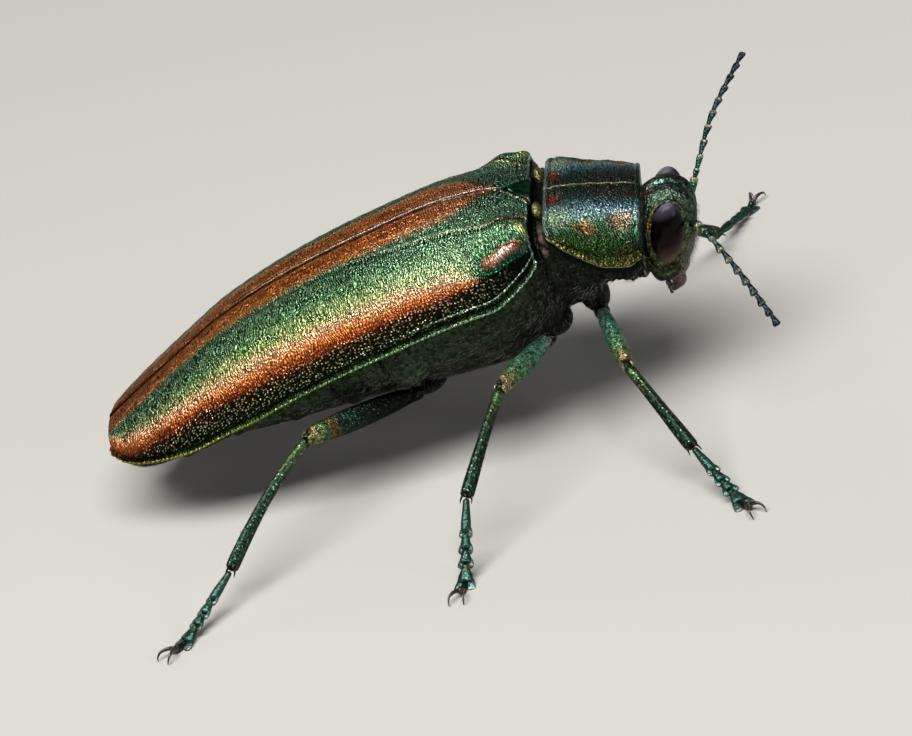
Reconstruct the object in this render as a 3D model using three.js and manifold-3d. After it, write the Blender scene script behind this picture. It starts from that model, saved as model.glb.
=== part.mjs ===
// Jewel beetle, life size, standing on the six feet. Millimetres, +Z up.
//
// The body is drawn along its own axis: x runs forward from the tail end, y to the beetle's left
// and z up from the level of the wing-case margins. The legs are drawn in the standing frame, whose
// z = 0 is the ground. The body is pitched nose-up and lifted into that frame.
import * as THREE from 'three';
import { mergeVertices } from 'three/addons/utils/BufferGeometryUtils.js';
import Module from 'manifold-3d';

const wasm = await Module();
wasm.setup();

// Stance.
const PITCH = THREE.MathUtils.degToRad(5);
const TAIL_HEIGHT = 5.3;
const CENTRE = { x: 18.77, y: -0.46 };

// Fit between pieces.
const GAP = 0.12;
const SHELL = 0.5;

// Along the body.
const WING_BASE = 26.1;
const NECK = 26.75;
const HEAD_BASE = 31.5;
const NOD = Math.tan(THREE.MathUtils.degToRad(17));
const SCUTELLUM_LENGTH = 1.35;
const SCUTELLUM_HALF_WIDTH = 1.2;

const RIGHT = -1;
const LEFT = 1;
const SIDES = [['right', RIGHT], ['left', LEFT]];

// A smooth curve through [place, size] pairs that never overshoots them.
function profile(stations) {
  const last = stations.length - 1;
  const slopes = [];
  for (let i = 0; i < last; i += 1) {
    slopes.push((stations[i + 1][1] - stations[i][1]) / (stations[i + 1][0] - stations[i][0]));
  }
  const tangent = (i) => {
    if (i === 0) return slopes[0];
    if (i === last) return slopes[last - 1];
    if (slopes[i - 1] * slopes[i] <= 0) return 0;
    return (2 * slopes[i - 1] * slopes[i]) / (slopes[i - 1] + slopes[i]);
  };
  return (place) => {
    const at = THREE.MathUtils.clamp(place, stations[0][0], stations[last][0]);
    let i = 0;
    while (i < last - 1 && at > stations[i + 1][0]) i += 1;
    const span = stations[i + 1][0] - stations[i][0];
    const t = (at - stations[i][0]) / span;
    const rise = stations[i + 1][1] - stations[i][1];
    const start = tangent(i) * span;
    const end = tangent(i + 1) * span;
    return stations[i][1] + start * t
      + (3 * rise - 2 * start - end) * t * t
      + (start + end - 2 * rise) * t * t * t;
  };
}

// Wing cases and hind body: ridge height, half width and depth from ridge to margin.
const ridge = profile([[0, -0.43], [1.1, 0.13], [5.3, 2.02], [8.3, 3.28], [12.6, 4.39],
  [17.2, 5.09], [21.5, 5.46], [23.4, 5.33], [WING_BASE, 4.5]]);
const halfWidth = profile([[0, 2.1], [0.4, 2.75], [1.4, 3.65], [3.2, 4.6], [6, 5.45], [10, 5.85],
  [17, 6.05], [21, 6], [24.2, 5.65], [25.4, 5.3], [WING_BASE, 4.8]]);
const depth = profile([[0, 0.9], [1.2, 1.85], [3, 2.6], [6, 3.45], [10, 4.05], [20, 4.15],
  [23, 4.1], [25, 3.1], [WING_BASE, 2.1]]);
const belly = profile([[0.3, 1.5], [1.3, 1.65], [4, 1.3], [6.5, 1.3], [10, 2.5], [13, 3.45],
  [16, 4.1], [19, 4.85], [22, 5.2], [25, 4.9], [WING_BASE, 4.4]]);

// Pronotum: ridge, half width, depth to the side margin, and the throat below that margin.
const pronotumRidge = profile([[NECK, 4.25], [28.1, 3.92], [29.6, 3.44], [HEAD_BASE, 2.8]]);
const pronotumHalfWidth = profile([[NECK, 4.3], [27.6, 4.75], [29, 4.8], [30.4, 4.6],
  [HEAD_BASE, 4.1]]);
const pronotumDepth = profile([[NECK, 0.95], [27.3, 1.4], [28.3, 2.15], [29.4, 2.6],
  [30.6, 2.65], [HEAD_BASE, 2.35]]);
const throatHalfWidth = profile([[NECK, 4.2], [28.2, 3.9], [29.6, 3.4], [HEAD_BASE, 2.9]]);
const throat = profile([[NECK, 4.6], [27.8, 3.6], [28.8, 1.9], [29.8, 1.5], [HEAD_BASE, 1.7]]);

// Half of a cross-section: turn 0 is the middle, a quarter turn is the side margin.
// The powers make it fuller than an ellipse.
const WING_CURVE = { across: 2 / 2.3, upright: 2 / 2.2 };
const PRONOTUM_CURVE = { across: 2 / 2.6, upright: 2 / 2.6 };

function arc(turn, width, height, curve) {
  return {
    y: width * Math.sin(turn) ** curve.across,
    z: height * Math.cos(turn) ** curve.upright,
  };
}

// The low swelling of each wing case at the shoulder.
const SHOULDER = { x: 25, y: 4.1, length: 1.3, width: 1.2, height: 0.8 };
function shoulder(x, y) {
  const along = (x - SHOULDER.x) / SHOULDER.length;
  const across = (Math.abs(y) - SHOULDER.y) / SHOULDER.width;
  return SHOULDER.height * Math.exp(-along * along - across * across);
}

// The half width that the scutellum takes from each wing case at the front.
function scutellumHalfWidth(x) {
  const start = WING_BASE - SCUTELLUM_LENGTH;
  return x > start ? (SCUTELLUM_HALF_WIDTH * (x - start)) / SCUTELLUM_LENGTH : 0;
}

function volumeOf(geometry) {
  const { position } = geometry.attributes;
  const index = geometry.index.array;
  const [a, b, c] = [new THREE.Vector3(), new THREE.Vector3(), new THREE.Vector3()];
  let sum = 0;
  for (let i = 0; i < index.length; i += 3) {
    a.fromBufferAttribute(position, index[i]);
    b.fromBufferAttribute(position, index[i + 1]);
    c.fromBufferAttribute(position, index[i + 2]);
    sum += a.dot(b.cross(c)) / 6;
  }
  return sum;
}

// Moves each vertex of a closed geometry to its place on the beetle, keeping the faces outward.
function shaped(geometry, place) {
  for (const unused of ['normal', 'uv']) {
    if (geometry.hasAttribute(unused)) geometry.deleteAttribute(unused);
  }
  const solid = mergeVertices(geometry, 1e-5);
  const { position } = solid.attributes;
  for (let i = 0; i < position.count; i += 1) {
    const [x, y, z] = place(position.getX(i), position.getY(i), position.getZ(i));
    position.setXYZ(i, x, y, z);
  }
  if (volumeOf(solid) < 0) {
    const index = solid.index.array;
    for (let i = 0; i < index.length; i += 3) {
      [index[i], index[i + 1]] = [index[i + 1], index[i]];
    }
  }
  return solid;
}

// A plate: along, across and inward each run from 0 to 1.
function plate(alongSteps, acrossSteps, place) {
  const block = new THREE.BoxGeometry(1, 1, 1, alongSteps, acrossSteps, 1);
  return shaped(block, (x, y, z) => place(x + 0.5, y + 0.5, z + 0.5));
}

// A round body: along runs from 0 to 1, turn goes round and out is 0 on the axis and 1 outside.
function barrel(alongSteps, sides, place) {
  const drum = new THREE.CylinderGeometry(1, 1, 1, sides, alongSteps);
  return shaped(drum, (x, y, z) => place(y + 0.5, Math.atan2(z, x), Math.min(1, Math.hypot(x, z))));
}

// A limb along a curve, from rings of [place along the curve, half width, half height].
function limb(curve, sides, rings) {
  const steps = rings.length - 1;
  const frames = rings.map(([at]) => {
    const forward = curve.getTangentAt(at);
    const across = new THREE.Vector3().crossVectors(forward, THREE.Object3D.DEFAULT_UP);
    across.normalize();
    return { centre: curve.getPointAt(at), across, upright: across.clone().cross(forward) };
  });
  return barrel(steps, sides, (along, turn, out) => {
    const i = Math.round(along * steps);
    const { centre, across, upright } = frames[i];
    const point = centre.clone()
      .addScaledVector(across, out * rings[i][1] * Math.cos(turn))
      .addScaledVector(upright, out * rings[i][2] * Math.sin(turn));
    return [point.x, point.y, point.z];
  });
}

// Presses whatever lies below the ground flat against it.
function pressed(geometry) {
  const { position } = geometry.attributes;
  for (let i = 0; i < position.count; i += 1) {
    position.setZ(i, Math.max(0, position.getZ(i)));
  }
  return geometry;
}

function ellipsoid(centre, radii, wide, high) {
  const ball = new THREE.SphereGeometry(1, wide, high);
  ball.rotateX(Math.PI / 2);
  return shaped(ball, (x, y, z) => [
    centre[0] + radii[0] * x,
    centre[1] + radii[1] * y,
    centre[2] + radii[2] * z,
  ]);
}

const sided = ([x, y, z], side) => [x, side * y, z];

function toManifold(geometry) {
  return new wasm.Manifold(new wasm.Mesh({
    numProp: 3,
    vertProperties: new Float32Array(geometry.attributes.position.array),
    triVerts: new Uint32Array(geometry.index.array),
  }));
}

function carved(geometry, ...cutters) {
  let solid = toManifold(geometry);
  for (const cutter of cutters) solid = solid.subtract(toManifold(cutter));
  const mesh = solid.getMesh();
  const result = new THREE.BufferGeometry();
  result.setAttribute('position', new THREE.BufferAttribute(mesh.vertProperties, 3));
  result.setIndex(new THREE.BufferAttribute(mesh.triVerts, 1));
  return result;
}

const finish = (color, roughness, metalness) => ({ color, roughness, metalness });
const GREEN_SHELL = finish(0x2f6b3c, 0.35, 0.9);
const DARK_UNDERSIDE = finish(0x232a22, 0.45, 0.7);
const LEG_GREEN = finish(0x1f4f3f, 0.35, 0.85);
const FEELER = finish(0x2b4a4c, 0.45, 0.7);
const EYE = finish(0x1d1314, 0.12, 0.1);
const CLAW = finish(0x2a241c, 0.4, 0.3);

const beetle = new THREE.Group();
const body = new THREE.Group();
body.rotation.y = -PITCH;
body.position.set(-CENTRE.x, -CENTRE.y, TAIL_HEIGHT);
const legs = new THREE.Group();
legs.position.set(-CENTRE.x, -CENTRE.y, 0);
beetle.add(body, legs);

function add(parent, name, geometry, { color, roughness, metalness }) {
  const material = new THREE.MeshStandardMaterial({ color, roughness, metalness });
  const mesh = new THREE.Mesh(geometry, material);
  mesh.name = name;
  parent.add(mesh);
}

// Where each pair of legs leaves the body, in the standing frame, on the left side.
const HIPS = { front: [27.5, 1.95, 5.6], middle: [25.1, 2.6, 5.1], hind: [17.9, 3.0, 3.75] };
// The ball joint that carries each leg: its centre beyond the hip place, and its half sizes.
const COXA = {
  front: { above: [0, -0.2, 0.7], radii: [0.8, 0.9, 1.15] },
  middle: { above: [0.1, -0.3, 0.45], radii: [0.95, 1.0, 0.85] },
  hind: { above: [0.1, -0.4, 0.55], radii: [1.15, 1.7, 0.7] },
};

// A point of the standing frame, on the body's own axis.
function onBody([x, y, z]) {
  const lifted = z - TAIL_HEIGHT;
  return [
    x * Math.cos(PITCH) + lifted * Math.sin(PITCH),
    y,
    lifted * Math.cos(PITCH) - x * Math.sin(PITCH),
  ];
}

function coxa(pair, side, spread = 0) {
  const { above, radii } = COXA[pair];
  const centre = onBody(HIPS[pair]).map((place, axis) => place + above[axis]);
  return ellipsoid(sided(centre, side), radii.map((radius) => radius + spread), 8, 6);
}

// Wing cases.
function wingCase(side) {
  return plate(21, 8, (along, across, inward) => {
    const x = along * WING_BASE;
    const width = halfWidth(x);
    const edge = GAP / 2 + scutellumHalfWidth(x) + (scutellumHalfWidth(x) > 0 ? GAP / 2 : 0);
    const first = Math.asin((edge / width) ** (1 / WING_CURVE.across));
    const turn = THREE.MathUtils.lerp(first, Math.PI / 2, across);
    const thickness = inward * SHELL;
    const { y, z } = arc(turn, width - thickness, depth(x) - thickness, WING_CURVE);
    const margin = ridge(x) - depth(x);
    const reach = Math.max(y, edge);
    return [x, side * reach, margin + z + shoulder(x, reach)];
  });
}

for (const [name, side] of SIDES) {
  add(body, `elytron_${name}`, wingCase(side), GREEN_SHELL);
}

// Scutellum: a small blunt-tipped shield between the bases of the wing cases, slightly domed.
const SCUTELLUM_BLUNTING = 0.25;
const SCUTELLUM_DOME = 0.06;
const scutellum = plate(3, 4, (along, across, inward) => {
  const x = WING_BASE - SCUTELLUM_LENGTH * (1 - along) * (1 - SCUTELLUM_BLUNTING);
  const half = scutellumHalfWidth(x) - GAP / 2;
  const offset = 2 * across - 1;
  const z = ridge(x) + SCUTELLUM_DOME * (1 - offset ** 2) - inward * SHELL;
  return [x, half * offset, z];
});
add(body, 'scutellum', scutellum, GREEN_SHELL);

// A slice of the body under the wing cases, its lower half the belly.
const BODY_INSET = SHELL + 1.5 * GAP;
const LEAST_BACK = 0.2;
const BODY_SIDES = 16;
const BELLY_CURVE = { across: 1, upright: 0.9 };
function bodySlice(from, to, steps) {
  return barrel(steps, BODY_SIDES, (along, turn, out) => {
    const x = THREE.MathUtils.lerp(from, to, along);
    const width = halfWidth(x) - BODY_INSET;
    const margin = ridge(x) - depth(x);
    const above = Math.sin(turn) > 0;
    const height = above ? Math.max(LEAST_BACK, depth(x) - BODY_INSET) : belly(x);
    const curve = above ? WING_CURVE : BELLY_CURVE;
    const side = Math.abs(Math.cos(turn)) ** curve.across;
    const rise = Math.abs(Math.sin(turn)) ** curve.upright;
    const y = out * Math.sign(Math.cos(turn)) * width * side;
    return [x, y, margin + out * Math.sign(Math.sin(turn)) * height * rise];
  });
}

const hindCoxae = SIDES.map(([, side]) => coxa('hind', side, GAP));
const middleCoxae = SIDES.map(([, side]) => coxa('middle', side, GAP));
const frontCoxae = SIDES.map(([, side]) => coxa('front', side, GAP));

// Five belly segments, then the hind and middle thorax.
const SEGMENT_ENDS = [0.25, 4.2, 7.4, 10.5, 13.6, 16.6];
for (let i = 0; i < SEGMENT_ENDS.length - 1; i += 1) {
  const segment = bodySlice(SEGMENT_ENDS[i] + GAP, SEGMENT_ENDS[i + 1], 2);
  const number = SEGMENT_ENDS.length - 1 - i;
  add(body, `abdomen_segment_${number}`, carved(segment, ...hindCoxae), DARK_UNDERSIDE);
}
const METATHORAX_FRONT = 23.3;
const metathorax = bodySlice(SEGMENT_ENDS.at(-1) + GAP, METATHORAX_FRONT, 3);
add(body, 'metathorax', carved(metathorax, ...hindCoxae, ...middleCoxae), DARK_UNDERSIDE);
const mesothorax = bodySlice(METATHORAX_FRONT + GAP, NECK - GAP, 2);
add(body, 'mesothorax', carved(mesothorax, ...middleCoxae, ...frontCoxae), DARK_UNDERSIDE);

// The head hangs nose-down: forward places move back as they drop below the shield's front edge.
function nodded(x, z) {
  return x + NOD * (z - pronotumRidge(HEAD_BASE));
}

// Front thorax: the shield above its side margin and the breastplate below.
const SHIELD_EDGE = 0.3;
function frontThorax(upper) {
  return plate(8, 14, (along, across, inward) => {
    const x = THREE.MathUtils.lerp(NECK, HEAD_BASE, along);
    const turn = (across - 0.5) * Math.PI;
    const width = upper ? pronotumHalfWidth(x) : throatHalfWidth(x);
    const height = upper ? pronotumDepth(x) - SHIELD_EDGE : throat(x);
    const { y, z } = arc(Math.abs(turn), width, height, PRONOTUM_CURVE);
    const margin = pronotumRidge(x) - pronotumDepth(x);
    const level = upper ? margin : margin - GAP;
    const rim = upper ? SHIELD_EDGE : -SHIELD_EDGE;
    const outer = upper ? z : -z;
    const lifted = level + (1 - inward) * (rim + outer);
    const leaning = along * (nodded(x, lifted) - x) + x;
    return [leaning, Math.sign(turn) * y, lifted];
  });
}
add(body, 'pronotum', frontThorax(true), GREEN_SHELL);
add(body, 'prosternum', carved(frontThorax(false), ...frontCoxae), DARK_UNDERSIDE);

// Head, cut flat behind, with the eyes, mouth and feelers let into it. Places on the left side.
const HEAD = { centre: [32.5, 0, -0.1], radii: [2.1, 2.4, 2.65] };
const EYE_PLACE = { centre: [32.86, 2, 0.57], radii: [0.95, 0.75, 1.6] };
const MOUTH = { centre: [32.7, 0, -2.75], radii: [0.75, 1.1, 0.9] };
const FEELER_BASE = [33.35, 1.35, 0.35];
const FEELER_SOCKET = [0.5, 0.5, 0.5];

function headPiece({ centre, radii }, side, spread = 0) {
  const ball = ellipsoid(sided(centre, side), radii.map((radius) => radius + spread), 12, 8);
  return shaped(ball, (x, y, z) => [nodded(x, z), y, z]);
}
const headBall = shaped(ellipsoid(HEAD.centre, HEAD.radii, 16, 12), (x, y, z) => [
  nodded(Math.max(HEAD_BASE + GAP, x), z),
  y,
  z,
]);
const eyeSockets = SIDES.map(([, side]) => headPiece(EYE_PLACE, side, GAP));
const mouthSocket = headPiece(MOUTH, RIGHT, GAP);
const feelerSockets = SIDES.map(([, side]) => (
  ellipsoid(sided(FEELER_BASE, side), FEELER_SOCKET, 8, 6)
));
add(body, 'head', carved(headBall, ...eyeSockets, mouthSocket, ...feelerSockets), GREEN_SHELL);
add(body, 'mouthparts', headPiece(MOUTH, RIGHT), CLAW);
for (const [name, side] of SIDES) {
  add(body, `eye_${name}`, headPiece(EYE_PLACE, side), EYE);
}

// Feelers: eleven toothed joints, the right one lowered and the left one raised.
const FEELER_JOINTS = 11;
const FEELER_RADIUS = 0.25;
const FEELER_TOOTH = 0.06;
const FEELER_LINES = {
  right: [FEELER_BASE, [33.95, 2.3, 0.4], [35.1, 4.3, -1.15], [36.52, 7.2, -3.6]],
  left: [FEELER_BASE, [34.25, 2.4, 1.55], [35.6, 4.5, 3.05], [37.8, 7.6, 4.35]],
};
function feeler(name, side) {
  const line = FEELER_LINES[name].map((point) => new THREE.Vector3(...sided(point, side)));
  const rings = [];
  for (let i = 0; i < FEELER_JOINTS; i += 1) {
    const start = (i + 0.04) / FEELER_JOINTS;
    const end = (i + 0.96) / FEELER_JOINTS;
    rings.push([start, FEELER_RADIUS, FEELER_RADIUS]);
    rings.push([end, FEELER_RADIUS + FEELER_TOOTH, FEELER_RADIUS]);
  }
  return limb(new THREE.CatmullRomCurve3(line), 6, rings);
}
for (const [name, side] of SIDES) {
  add(body, `antenna_${name}`, feeler(name, side), FEELER);
}

// Legs: knee, ankle and foot places in the standing frame, each measured out from its own side.
const LEGS = {
  front_right: { knee: [28.85, -7.49, 4.73], ankle: [31.42, -11.96, 1.95], foot: [33.7, -15.6, 0] },
  front_left: { knee: [30.3, 6.6, 5.0], ankle: [32.9, 10.9, 1.1], foot: [34.7, 15.2, 0] },
  middle_right: { knee: [22.47, -8.4, 5.72], ankle: [20.09, -13.46, 3.02], foot: [19.14, -17.3, 0] },
  middle_left: { knee: [22.8, 8.2, 6.5], ankle: [21.0, 11.9, 2.0], foot: [20.3, 16.3, 0] },
  hind_right: { knee: [11.97, -7.6, 5.1], ankle: [7.25, -13.1, 1.75], foot: [4.2, -16.7, 0] },
  hind_left: { knee: [11.8, 7.5, 4.9], ankle: [6.6, 12.4, 1.6], foot: [3.6, 16.4, 0] },
};
// How far the thigh starts from the hip, the half thicknesses and the upward bow of the shin.
const LEG_SIZES = {
  front: { hipClearance: 0.75, femur: 0.56, tibia: 0.29, bow: 0 },
  middle: { hipClearance: 1.2, femur: 0.56, tibia: 0.29, bow: 0.1 },
  hind: { hipClearance: 1.2, femur: 0.64, tibia: 0.3, bow: 0.35 },
};
// Where the five foot joints meet, from 0 at the shin to 1 at the tip, and their half widths.
const TARSUS_JOINTS = [0, 0.36, 0.52, 0.66, 0.86, 1];
const TARSUS_HALF_WIDTHS = [0.36, 0.4, 0.44, 0.58, 0.27];
const TARSUS_RADIUS = 0.25;

const vector = (point) => new THREE.Vector3(...point);

// A point this far from one place towards another.
const towards = (from, to, reach) => from.clone().lerp(to, reach / from.distanceTo(to));

// The thigh is a spindle, a little flattened from side to side.
const THIGH_SWELL = profile([[0, 0.62], [0.3, 0.92], [0.62, 1], [0.88, 0.82], [1, 0.5]]);
const THIGH_RINGS = [0, 0.12, 0.3, 0.48, 0.66, 0.82, 0.94, 1];
const THIGH_FLATNESS = 0.86;
function femur(hip, knee, clearance, thickness) {
  const line = new THREE.LineCurve3(towards(hip, knee, clearance), knee);
  const rings = THIGH_RINGS.map((at) => (
    [at, thickness * THIGH_FLATNESS * THIGH_SWELL(at), thickness * THIGH_SWELL(at)]
  ));
  return limb(line, 8, rings);
}

// The shin is slender and widens to the ankle.
const SHIN_SWELL = profile([[0, 0.95], [0.1, 0.88], [0.5, 0.95], [0.92, 1.15], [1, 1.05]]);
const SHIN_RINGS = [0, 0.08, 0.25, 0.45, 0.65, 0.82, 0.94, 1];
const KNEE_CLEARANCE = 0.3 + GAP;
const BOW_PLACE = 0.45;
function tibia(knee, ankle, thickness, bow) {
  const start = towards(knee, ankle, KNEE_CLEARANCE);
  const middle = start.clone().lerp(ankle, BOW_PLACE).add(new THREE.Vector3(0, 0, 2 * bow));
  const curve = new THREE.QuadraticBezierCurve3(start, middle, ankle);
  const rings = SHIN_RINGS.map((at) => (
    [at, thickness * SHIN_SWELL(at), thickness * SHIN_SWELL(at)]
  ));
  return limb(curve, 8, rings);
}

// The last joint of each foot lies level, its axis this high above the ground.
const SOLE_HEIGHT = 0.16;
const SOLE_LENGTH = 0.7;
function tarsusCurve(ankle, foot) {
  const start = towards(ankle, foot, GAP);
  const end = foot.clone().setZ(SOLE_HEIGHT);
  const outward = foot.clone().sub(ankle).setZ(0).normalize();
  const heel = end.clone().addScaledVector(outward, -SOLE_LENGTH);
  const middle = start.clone().lerp(heel, 0.5);
  return new THREE.CatmullRomCurve3([start, middle, heel, end]);
}

// Each foot joint is narrow behind and widens to its front edge.
const TARSUS_STEP = 0.01;
function tarsus(ankle, foot) {
  const rings = [];
  TARSUS_HALF_WIDTHS.forEach((halfWide, i) => {
    rings.push([TARSUS_JOINTS[i] + TARSUS_STEP, TARSUS_RADIUS, TARSUS_RADIUS]);
    rings.push([TARSUS_JOINTS[i + 1] - TARSUS_STEP, halfWide, TARSUS_RADIUS * 1.1]);
  });
  return pressed(limb(tarsusCurve(ankle, foot), 8, rings));
}

// The pair of claws is one bent horn: tip, bend, root, bend, tip.
const CLAW_TIP = { reach: 0.85, spread: 0.38, height: 0.05, radius: 0.12 };
const CLAW_BEND = { reach: 0.55, spread: 0.34, height: 0.42 };
const CLAW_ROOT = { reach: 0.14, spread: 0, height: 0.32, radius: 0.18 };
const CLAW_RINGS = [0, 0.12, 0.25, 0.4, 0.5, 0.6, 0.75, 0.88, 1];
function claws(ankle, foot) {
  const outward = foot.clone().sub(ankle).setZ(0).normalize();
  const sideways = new THREE.Vector3(-outward.y, outward.x, 0);
  const at = ({ reach, spread, height }, side) => foot.clone()
    .addScaledVector(outward, GAP + reach)
    .addScaledVector(sideways, side * spread)
    .setZ(height);
  const line = new THREE.CatmullRomCurve3([
    at(CLAW_TIP, RIGHT),
    at(CLAW_BEND, RIGHT),
    at(CLAW_ROOT, RIGHT),
    at(CLAW_BEND, LEFT),
    at(CLAW_TIP, LEFT),
  ]);
  const rings = CLAW_RINGS.map((along) => {
    const fromRoot = Math.abs(2 * along - 1);
    const radius = THREE.MathUtils.lerp(CLAW_ROOT.radius, CLAW_TIP.radius, fromRoot);
    return [along, radius, radius];
  });
  return pressed(limb(line, 6, rings));
}

for (const [name, { knee, ankle, foot }] of Object.entries(LEGS)) {
  const [pair, sideName] = name.split('_');
  const side = sideName === 'right' ? RIGHT : LEFT;
  const sizes = LEG_SIZES[pair];
  const hip = vector(sided(HIPS[pair], side));
  const thigh = femur(hip, vector(knee), sizes.hipClearance, sizes.femur);
  const shin = tibia(vector(knee), vector(ankle), sizes.tibia, sizes.bow);
  add(body, `coxa_${name}`, coxa(pair, side), DARK_UNDERSIDE);
  add(legs, `femur_${name}`, thigh, LEG_GREEN);
  add(legs, `tibia_${name}`, shin, LEG_GREEN);
  add(legs, `tarsus_${name}`, tarsus(vector(ankle), vector(foot)), LEG_GREEN);
  add(legs, `claws_${name}`, claws(vector(ankle), vector(foot)), CLAW);
}

export default beetle;
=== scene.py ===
import math

import bmesh
import bpy
import numpy as np
from mathutils import Matrix, Vector


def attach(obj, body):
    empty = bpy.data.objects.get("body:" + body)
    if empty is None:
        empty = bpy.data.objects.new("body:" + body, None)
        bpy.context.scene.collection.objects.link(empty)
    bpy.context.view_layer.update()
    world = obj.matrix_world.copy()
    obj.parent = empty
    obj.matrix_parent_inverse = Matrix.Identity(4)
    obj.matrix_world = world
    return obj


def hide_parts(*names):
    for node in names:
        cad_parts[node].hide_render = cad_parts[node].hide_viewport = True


# A jewel beetle, life size, standing on its six feet.
#
# Shapes are worked out in millimetres, in one of two frames. The body frame has x forward from the
# tail end, y to the beetle's left and z up from the level of the wing-case margins. The standing
# frame, used for the legs, has the ground at z = 0. Both end in the model's frame, in metres.

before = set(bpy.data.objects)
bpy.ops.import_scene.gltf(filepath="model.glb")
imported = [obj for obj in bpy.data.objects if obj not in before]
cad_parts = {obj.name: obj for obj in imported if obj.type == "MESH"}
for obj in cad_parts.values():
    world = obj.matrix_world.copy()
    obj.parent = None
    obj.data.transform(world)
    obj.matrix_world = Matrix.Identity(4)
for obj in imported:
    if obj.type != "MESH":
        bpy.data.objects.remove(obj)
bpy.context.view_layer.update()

MM = 0.001
PITCH = math.radians(5)
TAIL_HEIGHT = 5.3
CENTRE = (18.77, -0.46)

GAP = 0.12
SHELL = 0.5
WING_BASE = 26.1
NECK = 26.75
HEAD_BASE = 31.5
NOD = math.tan(math.radians(17))
SCUTELLUM_LENGTH = 1.35
SCUTELLUM_HALF_WIDTH = 1.2
RIGHT = -1
LEFT = 1
SIDES = {"right": RIGHT, "left": LEFT}


# ---------------------------------------------------------------- curves and places

def profile(stations):
    """A smooth curve through [place, size] pairs that never overshoots them."""
    places = np.array([station[0] for station in stations], float)
    sizes = np.array([station[1] for station in stations], float)
    spans = np.diff(places)
    slopes = np.diff(sizes) / spans
    tangents = np.empty(len(places))
    tangents[0], tangents[-1] = slopes[0], slopes[-1]
    for i in range(1, len(slopes)):
        before, after = slopes[i - 1], slopes[i]
        turns = before * after <= 0
        tangents[i] = 0 if turns else 2 * before * after / (before + after)

    def curve(place):
        at = np.clip(np.asarray(place, float), places[0], places[-1])
        i = np.clip(np.searchsorted(places, at, side="right") - 1, 0, len(spans) - 1)
        t = (at - places[i]) / spans[i]
        rise = sizes[i + 1] - sizes[i]
        start = tangents[i] * spans[i]
        end = tangents[i + 1] * spans[i]
        return (sizes[i] + start * t + (3 * rise - 2 * start - end) * t ** 2
                + (start + end - 2 * rise) * t ** 3)
    return curve


def bump(value, centre, width):
    """A smooth hump of height 1 at centre, falling away over width."""
    return np.exp(-((value - centre) / width) ** 2)


def rising(value, low, high):
    """0 below low, 1 above high and a smooth rise between."""
    t = np.clip((value - low) / (high - low), 0, 1)
    return t * t * (3 - 2 * t)


def lerp(a, b, t):
    return a + (b - a) * t


def from_body(points):
    """Body-frame millimetres to the model's metres."""
    x, y, z = np.moveaxis(np.asarray(points, float), -1, 0)
    forward = x * math.cos(PITCH) - z * math.sin(PITCH) - CENTRE[0]
    upward = x * math.sin(PITCH) + z * math.cos(PITCH) + TAIL_HEIGHT
    return MM * np.stack([forward, y - CENTRE[1], upward], -1)


def from_stance(points):
    """Standing-frame millimetres to the model's metres."""
    return MM * (np.asarray(points, float) - np.array([CENTRE[0], CENTRE[1], 0]))


def onto_body(point):
    """A place of the standing frame, in the body frame."""
    x, y, z = point
    z = z - TAIL_HEIGHT
    return np.array([x * math.cos(PITCH) + z * math.sin(PITCH), y,
                     z * math.cos(PITCH) - x * math.sin(PITCH)])


# The outlines of the body, shared with the solids.
ridge = profile([[0, -0.43], [1.1, 0.13], [5.3, 2.02], [8.3, 3.28], [12.6, 4.39], [17.2, 5.09],
                 [21.5, 5.46], [23.4, 5.33], [WING_BASE, 4.5]])
half_width = profile([[0, 2.1], [0.4, 2.75], [1.4, 3.65], [3.2, 4.6], [6, 5.45], [10, 5.85],
                      [17, 6.05], [21, 6], [24.2, 5.65], [25.4, 5.3], [WING_BASE, 4.8]])
depth = profile([[0, 0.9], [1.2, 1.85], [3, 2.6], [6, 3.45], [10, 4.05], [20, 4.15],
                 [23, 4.1], [25, 3.1], [WING_BASE, 2.1]])
belly = profile([[0.3, 1.5], [1.3, 1.65], [4, 1.3], [6.5, 1.3], [10, 2.5], [13, 3.45],
                 [16, 4.1], [19, 4.85], [22, 5.2], [25, 4.9], [WING_BASE, 4.4]])
pronotum_ridge = profile([[NECK, 4.25], [28.1, 3.92], [29.6, 3.44], [HEAD_BASE, 2.8]])
pronotum_half_width = profile([[NECK, 4.3], [27.6, 4.75], [29, 4.8], [30.4, 4.6],
                               [HEAD_BASE, 4.1]])
pronotum_depth = profile([[NECK, 0.95], [27.3, 1.4], [28.3, 2.15], [29.4, 2.6], [30.6, 2.65],
                          [HEAD_BASE, 2.35]])
throat_half_width = profile([[NECK, 4.2], [28.2, 3.9], [29.6, 3.4], [HEAD_BASE, 2.9]])
throat = profile([[NECK, 4.6], [27.8, 3.6], [28.8, 1.9], [29.8, 1.5], [HEAD_BASE, 1.7]])

WING_CURVE = (2 / 2.3, 2 / 2.2)
BELLY_CURVE = (1, 0.9)
PRONOTUM_CURVE = (2 / 2.6, 2 / 2.6)
BODY_INSET = SHELL + 1.5 * GAP
LEAST_BACK = 0.2


def shoulder(x, y):
    """The low swelling of each wing case at the shoulder."""
    return 0.8 * bump(x, 25, 1.3) * bump(np.abs(y), 4.1, 1.2)


def scutellum_half_width(x):
    start = WING_BASE - SCUTELLUM_LENGTH
    return np.maximum(0, SCUTELLUM_HALF_WIDTH * (x - start) / SCUTELLUM_LENGTH)


def nodded(points):
    """The head hangs nose-down: what lies below the shield's front edge moves back."""
    moved = np.array(points, float)
    moved[..., 0] += NOD * (moved[..., 2] - pronotum_ridge(HEAD_BASE))
    return moved


# ---------------------------------------------------------------- closed forms

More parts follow.
